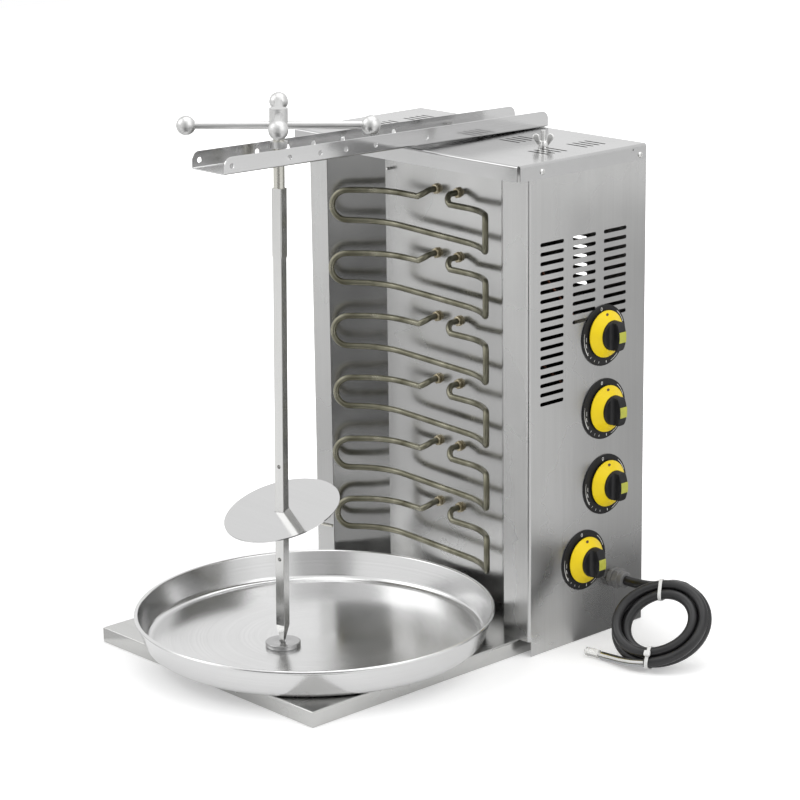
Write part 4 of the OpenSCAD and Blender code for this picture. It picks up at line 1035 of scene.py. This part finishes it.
# %% Gland
gland_grey = moulding("gland_grey", (0.16, 0.16, 0.162), (0.36, 0.5), (0.22, 0.22, 0.22))


def at_gland(points):
    """Local points with z out of the panel."""
    return moved(points, GLAND_AT, (0, 0, -1), (0, 1, 0), (1, 0, 0))


GLAND_AF = 23 * MM
body_hex = hexagon(GLAND_AF, 0, 7 * MM, chamfer=1.2 * MM)
neck = turned(np.array([[0, 6.9], [9.4, 6.9], [9.4, 9.0], [0, 9.0]]) * MM, 48)
thread = turned(np.array([[0, -14], [9.4, -14], [9.9, -13.4], [9.9, -0.1], [0, -0.1]]) * MM, 48)
piece("gland_body", [(at_gland(body_hex[0]), False, True), (at_gland(neck), False, True),
                     (at_gland(thread), False, True)],
      gland_grey, "housing", ("cable_gland",))
cap_hex = hexagon(GLAND_AF, 8 * MM, 17 * MM, 9.5 * MM, chamfer=1.3 * MM)
dome = np.concatenate([[[6.35, 16.9]], [[10.9, 16.9]], corner((8.6, 22.6), 2.2, 10, 90, 7),
                       [[6.35, 24.9]]]) * MM
piece("gland_nut", [(at_gland(cap_hex[0]), True, True), (at_gland(turned(dome, 48)), True, True)],
      gland_grey, "housing", ("gland_cap",))
dress(gland_grey, "gland_locknut")

# %% [markdown]
# ## Inner parts
# Through the vents one can just see wires, ceramic beads and the regulators. They get plain
# honest finishes. The wires are swept along the same curves as in the drawing.

# %% Inner parts
ceramic = moulding("ceramic_white", (0.82, 0.80, 0.74), (0.15, 0.28), (0.74, 0.72, 0.66))
thermoset = moulding("thermoset", (0.70, 0.66, 0.55), (0.4, 0.55), (0.62, 0.58, 0.48))
wire_red = sheath("wire_red", (0.30, 0.10, 0.05), (0.36, 0.14, 0.08), (0.4, 0.55))
dress(ceramic, "terminal_insulators", "terminal_block")
dress(thermoset, "energy_regulators")
dress(brass, "neutral_bus_bar")
# Where wires end, in millimetres: a regulator's back, a heater's stud and the terminal block
REGULATOR_X, STUD_X, STUD_Y, BLOCK_X, BLOCK_Y = 176.4, 21, 91, 149.3, 188


def wire_path(a, lead_a, b, lead_b):
    """A wire that leaves each end along its lead; all in millimetres."""
    a, b = mm(*a), mm(*b)
    return bezier(a, a + mm(*lead_a), b + mm(*lead_b), b, 24)


WIRE_R, CORD_INSIDE_R = 1.6 * MM, 5 * MM
wire_grids = [tube(wire_path((193.5, 155.5, 72), (-10, 0, 0), (177, BLOCK_Y, 70), (6, 0, 0)),
                   CORD_INSIDE_R, 20)]
for i, heater in enumerate((5, 3, 2, 0)):
    y, z = DIALS[i]
    stud_z = (TERMINAL_Z + heater * HEATER_PITCH) / MM
    for route in (wire_path((REGULATOR_X, y + 8, z), (-40, 0, 0),
                            (STUD_X, STUD_Y, stud_z), (0, 40, 0)),
                  wire_path((REGULATOR_X, y - 8, z - 12), (-14, 30, 0),
                            (BLOCK_X, BLOCK_Y, 50 + 10 * i), (-20 - 4 * i, 0, 0))):
        wire_grids.append(tube(route, WIRE_R, 12))
wire_run = np.concatenate([run_of(g[0], WIRE_R).reshape(-1, 3) for g in wire_grids])
piece("inner_wires", wire_grids, wire_red, "housing", ("inner_wiring",), run=wire_run)

# %% [markdown]
# ## Studio
# Polished steel shows the room more than itself. The floor and the surroundings are white, and
# large soft lamps give the broad highlights. Dark flags stand outside the picture, as in a
# photo studio, so that the steel shows grey beside the white.

# %% Floor
def shown_to_sight(tree):
    """1 for rays that show the background: from the camera, from gloss and through glass."""
    path = tree.nodes.new("ShaderNodeLightPath")
    return maths(tree, "MAXIMUM", path.outputs["Is Camera Ray"],
                 maths(tree, "MAXIMUM", path.outputs["Is Glossy Ray"],
                       path.outputs["Is Transmission Ray"]))


def sheet_on_stage(name, corners, finish):
    """A flat four-cornered sheet of the studio, not of the grill."""
    mesh = bpy.data.meshes.new(name)
    mesh.from_pydata(corners, [], [(0, 1, 2, 3)])
    made = bpy.data.objects.new(name, mesh)
    bpy.context.scene.collection.objects.link(made)
    made.data.materials.append(finish)
    return made


FLOOR, FLOOR_Z, CARD_Z = 6.0, -0.0005, -0.0002    # half its width, and the sheets' heights
NEAR_LIFT, GLOSS_LIFT = 0.26, 0.18
FADE_FROM, FADE_TO = 0.35, 0.95          # metres from the middle
floor_white, tree, shader = blank_material("floor_white", (0.84, 0.84, 0.84), 0.0, 0.9)
away = node(tree, "ShaderNodeVectorMath", i0=object_place(tree))
away.operation = "LENGTH"
# The paper whitens with distance, so the picture's ground is white but the shadow stays.
# Polished metal sees the lit paper, lifted a little, at about white
fade = range_of(tree, away.outputs["Value"], NEAR_LIFT, 1.0, FADE_FROM, FADE_TO)
path = tree.nodes.new("ShaderNodeLightPath").outputs
seen = maths(tree, "MAXIMUM", path["Is Camera Ray"], path["Is Transmission Ray"])
lift = maths(tree, "ADD", maths(tree, "MULTIPLY", fade, seen),
             maths(tree, "MULTIPLY", path["Is Glossy Ray"], GLOSS_LIFT))
glow = node(tree, "ShaderNodeEmission", Color=(1, 1, 1, 1), Strength=lift)
both = node(tree, "ShaderNodeAddShader", i0=shader.outputs[0], i1=glow.outputs[0])
link(tree, both.outputs[0], tree.nodes["Material Output"].inputs[0])
sheet_on_stage("floor", [(-FLOOR, -FLOOR, FLOOR_Z), (FLOOR, -FLOOR, FLOOR_Z),
                         (FLOOR, FLOOR, FLOOR_Z), (-FLOOR, FLOOR, FLOOR_Z)], floor_white)
print("floor:", 2 * FLOOR, "m wide, white from", FADE_TO, "m")

# %% World
ROOM_LIGHT = 0.72                        # what the grill gets; sight gets plain white
world = bpy.data.worlds.new("studio")
bpy.context.scene.world = world
world.use_nodes = True
tree = world.node_tree
tree.nodes.clear()
background = node(tree, "ShaderNodeBackground", Color=(1, 1, 1, 1),
                  Strength=range_of(tree, shown_to_sight(tree), ROOM_LIGHT, 1.0))
output = tree.nodes.new("ShaderNodeOutputWorld")
link(tree, background.outputs[0], output.inputs[0])
print("world:", world.name)


# %% Lamps
def lamp(name, at, target, size, power):
    """A soft square lamp that looks at a point."""
    light = bpy.data.lights.new(name, "AREA")
    light.shape, light.size, light.energy = "SQUARE", size, power
    made = bpy.data.objects.new(name, light)
    bpy.context.scene.collection.objects.link(made)
    away = unit(np.array(at, float) - np.array(target, float))
    side = unit(np.cross([0, 0, 1], away))
    turn = np.eye(4)
    turn[:3, 0], turn[:3, 1], turn[:3, 2], turn[:3, 3] = side, np.cross(away, side), away, at
    made.matrix_world = Matrix(turn.tolist())


MIDDLE = (0, 0, 0.3)
lamp("key", (-1.9, -2.2, 2.6), MIDDLE, 2.6, 30)
lamp("fill", (2.6, 0.4, 2.0), MIDDLE, 2.4, 16)
lamp("top", (0.2, 0.4, 3.0), MIDDLE, 2.6, 26)
print("lamps:", [light.name for light in bpy.data.lights])


# %% Flags
def flag(name, corners, tone):
    """A grey card that only shows in polished metal, as a photographer sets beside it."""
    grey, tree, shader = blank_material(f"{name}_grey", (0, 0, 0), 0.0, 1.0)
    shader.inputs["Specular IOR Level"].default_value = 0.0
    shader.inputs["Emission Color"].default_value = (tone, tone, tone, 1)
    shader.inputs["Emission Strength"].default_value = 1.0
    card = sheet_on_stage(name, corners, grey)
    print(f"{name}: tone {tone}")
    card.visible_camera = card.visible_diffuse = card.visible_shadow = False
    card.visible_transmission = False


# Where the camera's line of sight goes after the control panel mirrors it, and square to that
mirror = np.array([0.733, 0.680, 0.0])
across_mirror = np.array([-0.680, 0.733, 0.0])
panel_foot = drawing_origin + [PANEL_X, 0, 0]


def beside_panel(out, aside, height):
    """A point in front of the control panel: out along the mirror direction, aside and up."""
    return (panel_foot + out * mirror + aside * across_mirror + [0, 0, height]).tolist()


def upright_card(name, foot_from, foot_to, height, tone):
    """A standing flag over the line between two feet, each [x, y]."""
    (x0, y0), (x1, y1) = foot_from[:2], foot_to[:2]
    flag(name, [(x0, y0, 0), (x1, y1, 0), (x1, y1, height), (x0, y0, height)], tone)


def floor_card(name, corners, tone):
    """A flag that lies on the floor; corners are [x, y] in metres."""
    flag(name, [(x, y, CARD_Z) for x, y in corners], tone)


CARD_OUT, CARD_H = 0.45, 0.50
left_foot, seam_foot, right_foot = (beside_panel(CARD_OUT, aside, 0)
                                    for aside in (-0.5, 0.08, 0.45))
upright_card("panel_flag", seam_foot, right_foot, CARD_H, 0.54)
upright_card("panel_left_flag", left_foot, seam_foot, CARD_H, 0.90)
floor_card("panel_floor_flag",
           [beside_panel(out, aside, 0)[:2] for out, aside in
            ((0.02, 0.06), (0.02, 0.5), (CARD_OUT, 0.5), (CARD_OUT, 0.06))], 0.16)
# The dark side of the room, behind the photographer and on the floor before them
upright_card("room_flag", (1.10, -2.90), (2.70, -1.40), 2.4, 0.55)
floor_card("front_flag", [(0.02, -0.50), (0.42, -0.08), (3.4, -2.2), (0.9, -3.8)], 0.15)
# A grey card low on the left, for the upright sheets that face the front
floor_card("left_flag", [(-0.494, 0.02), (-0.12, -0.384), (-1.41, -1.57), (-1.78, -1.17)], 0.72)

# %% Colour handling
bpy.context.scene.view_settings.view_transform = "Standard"
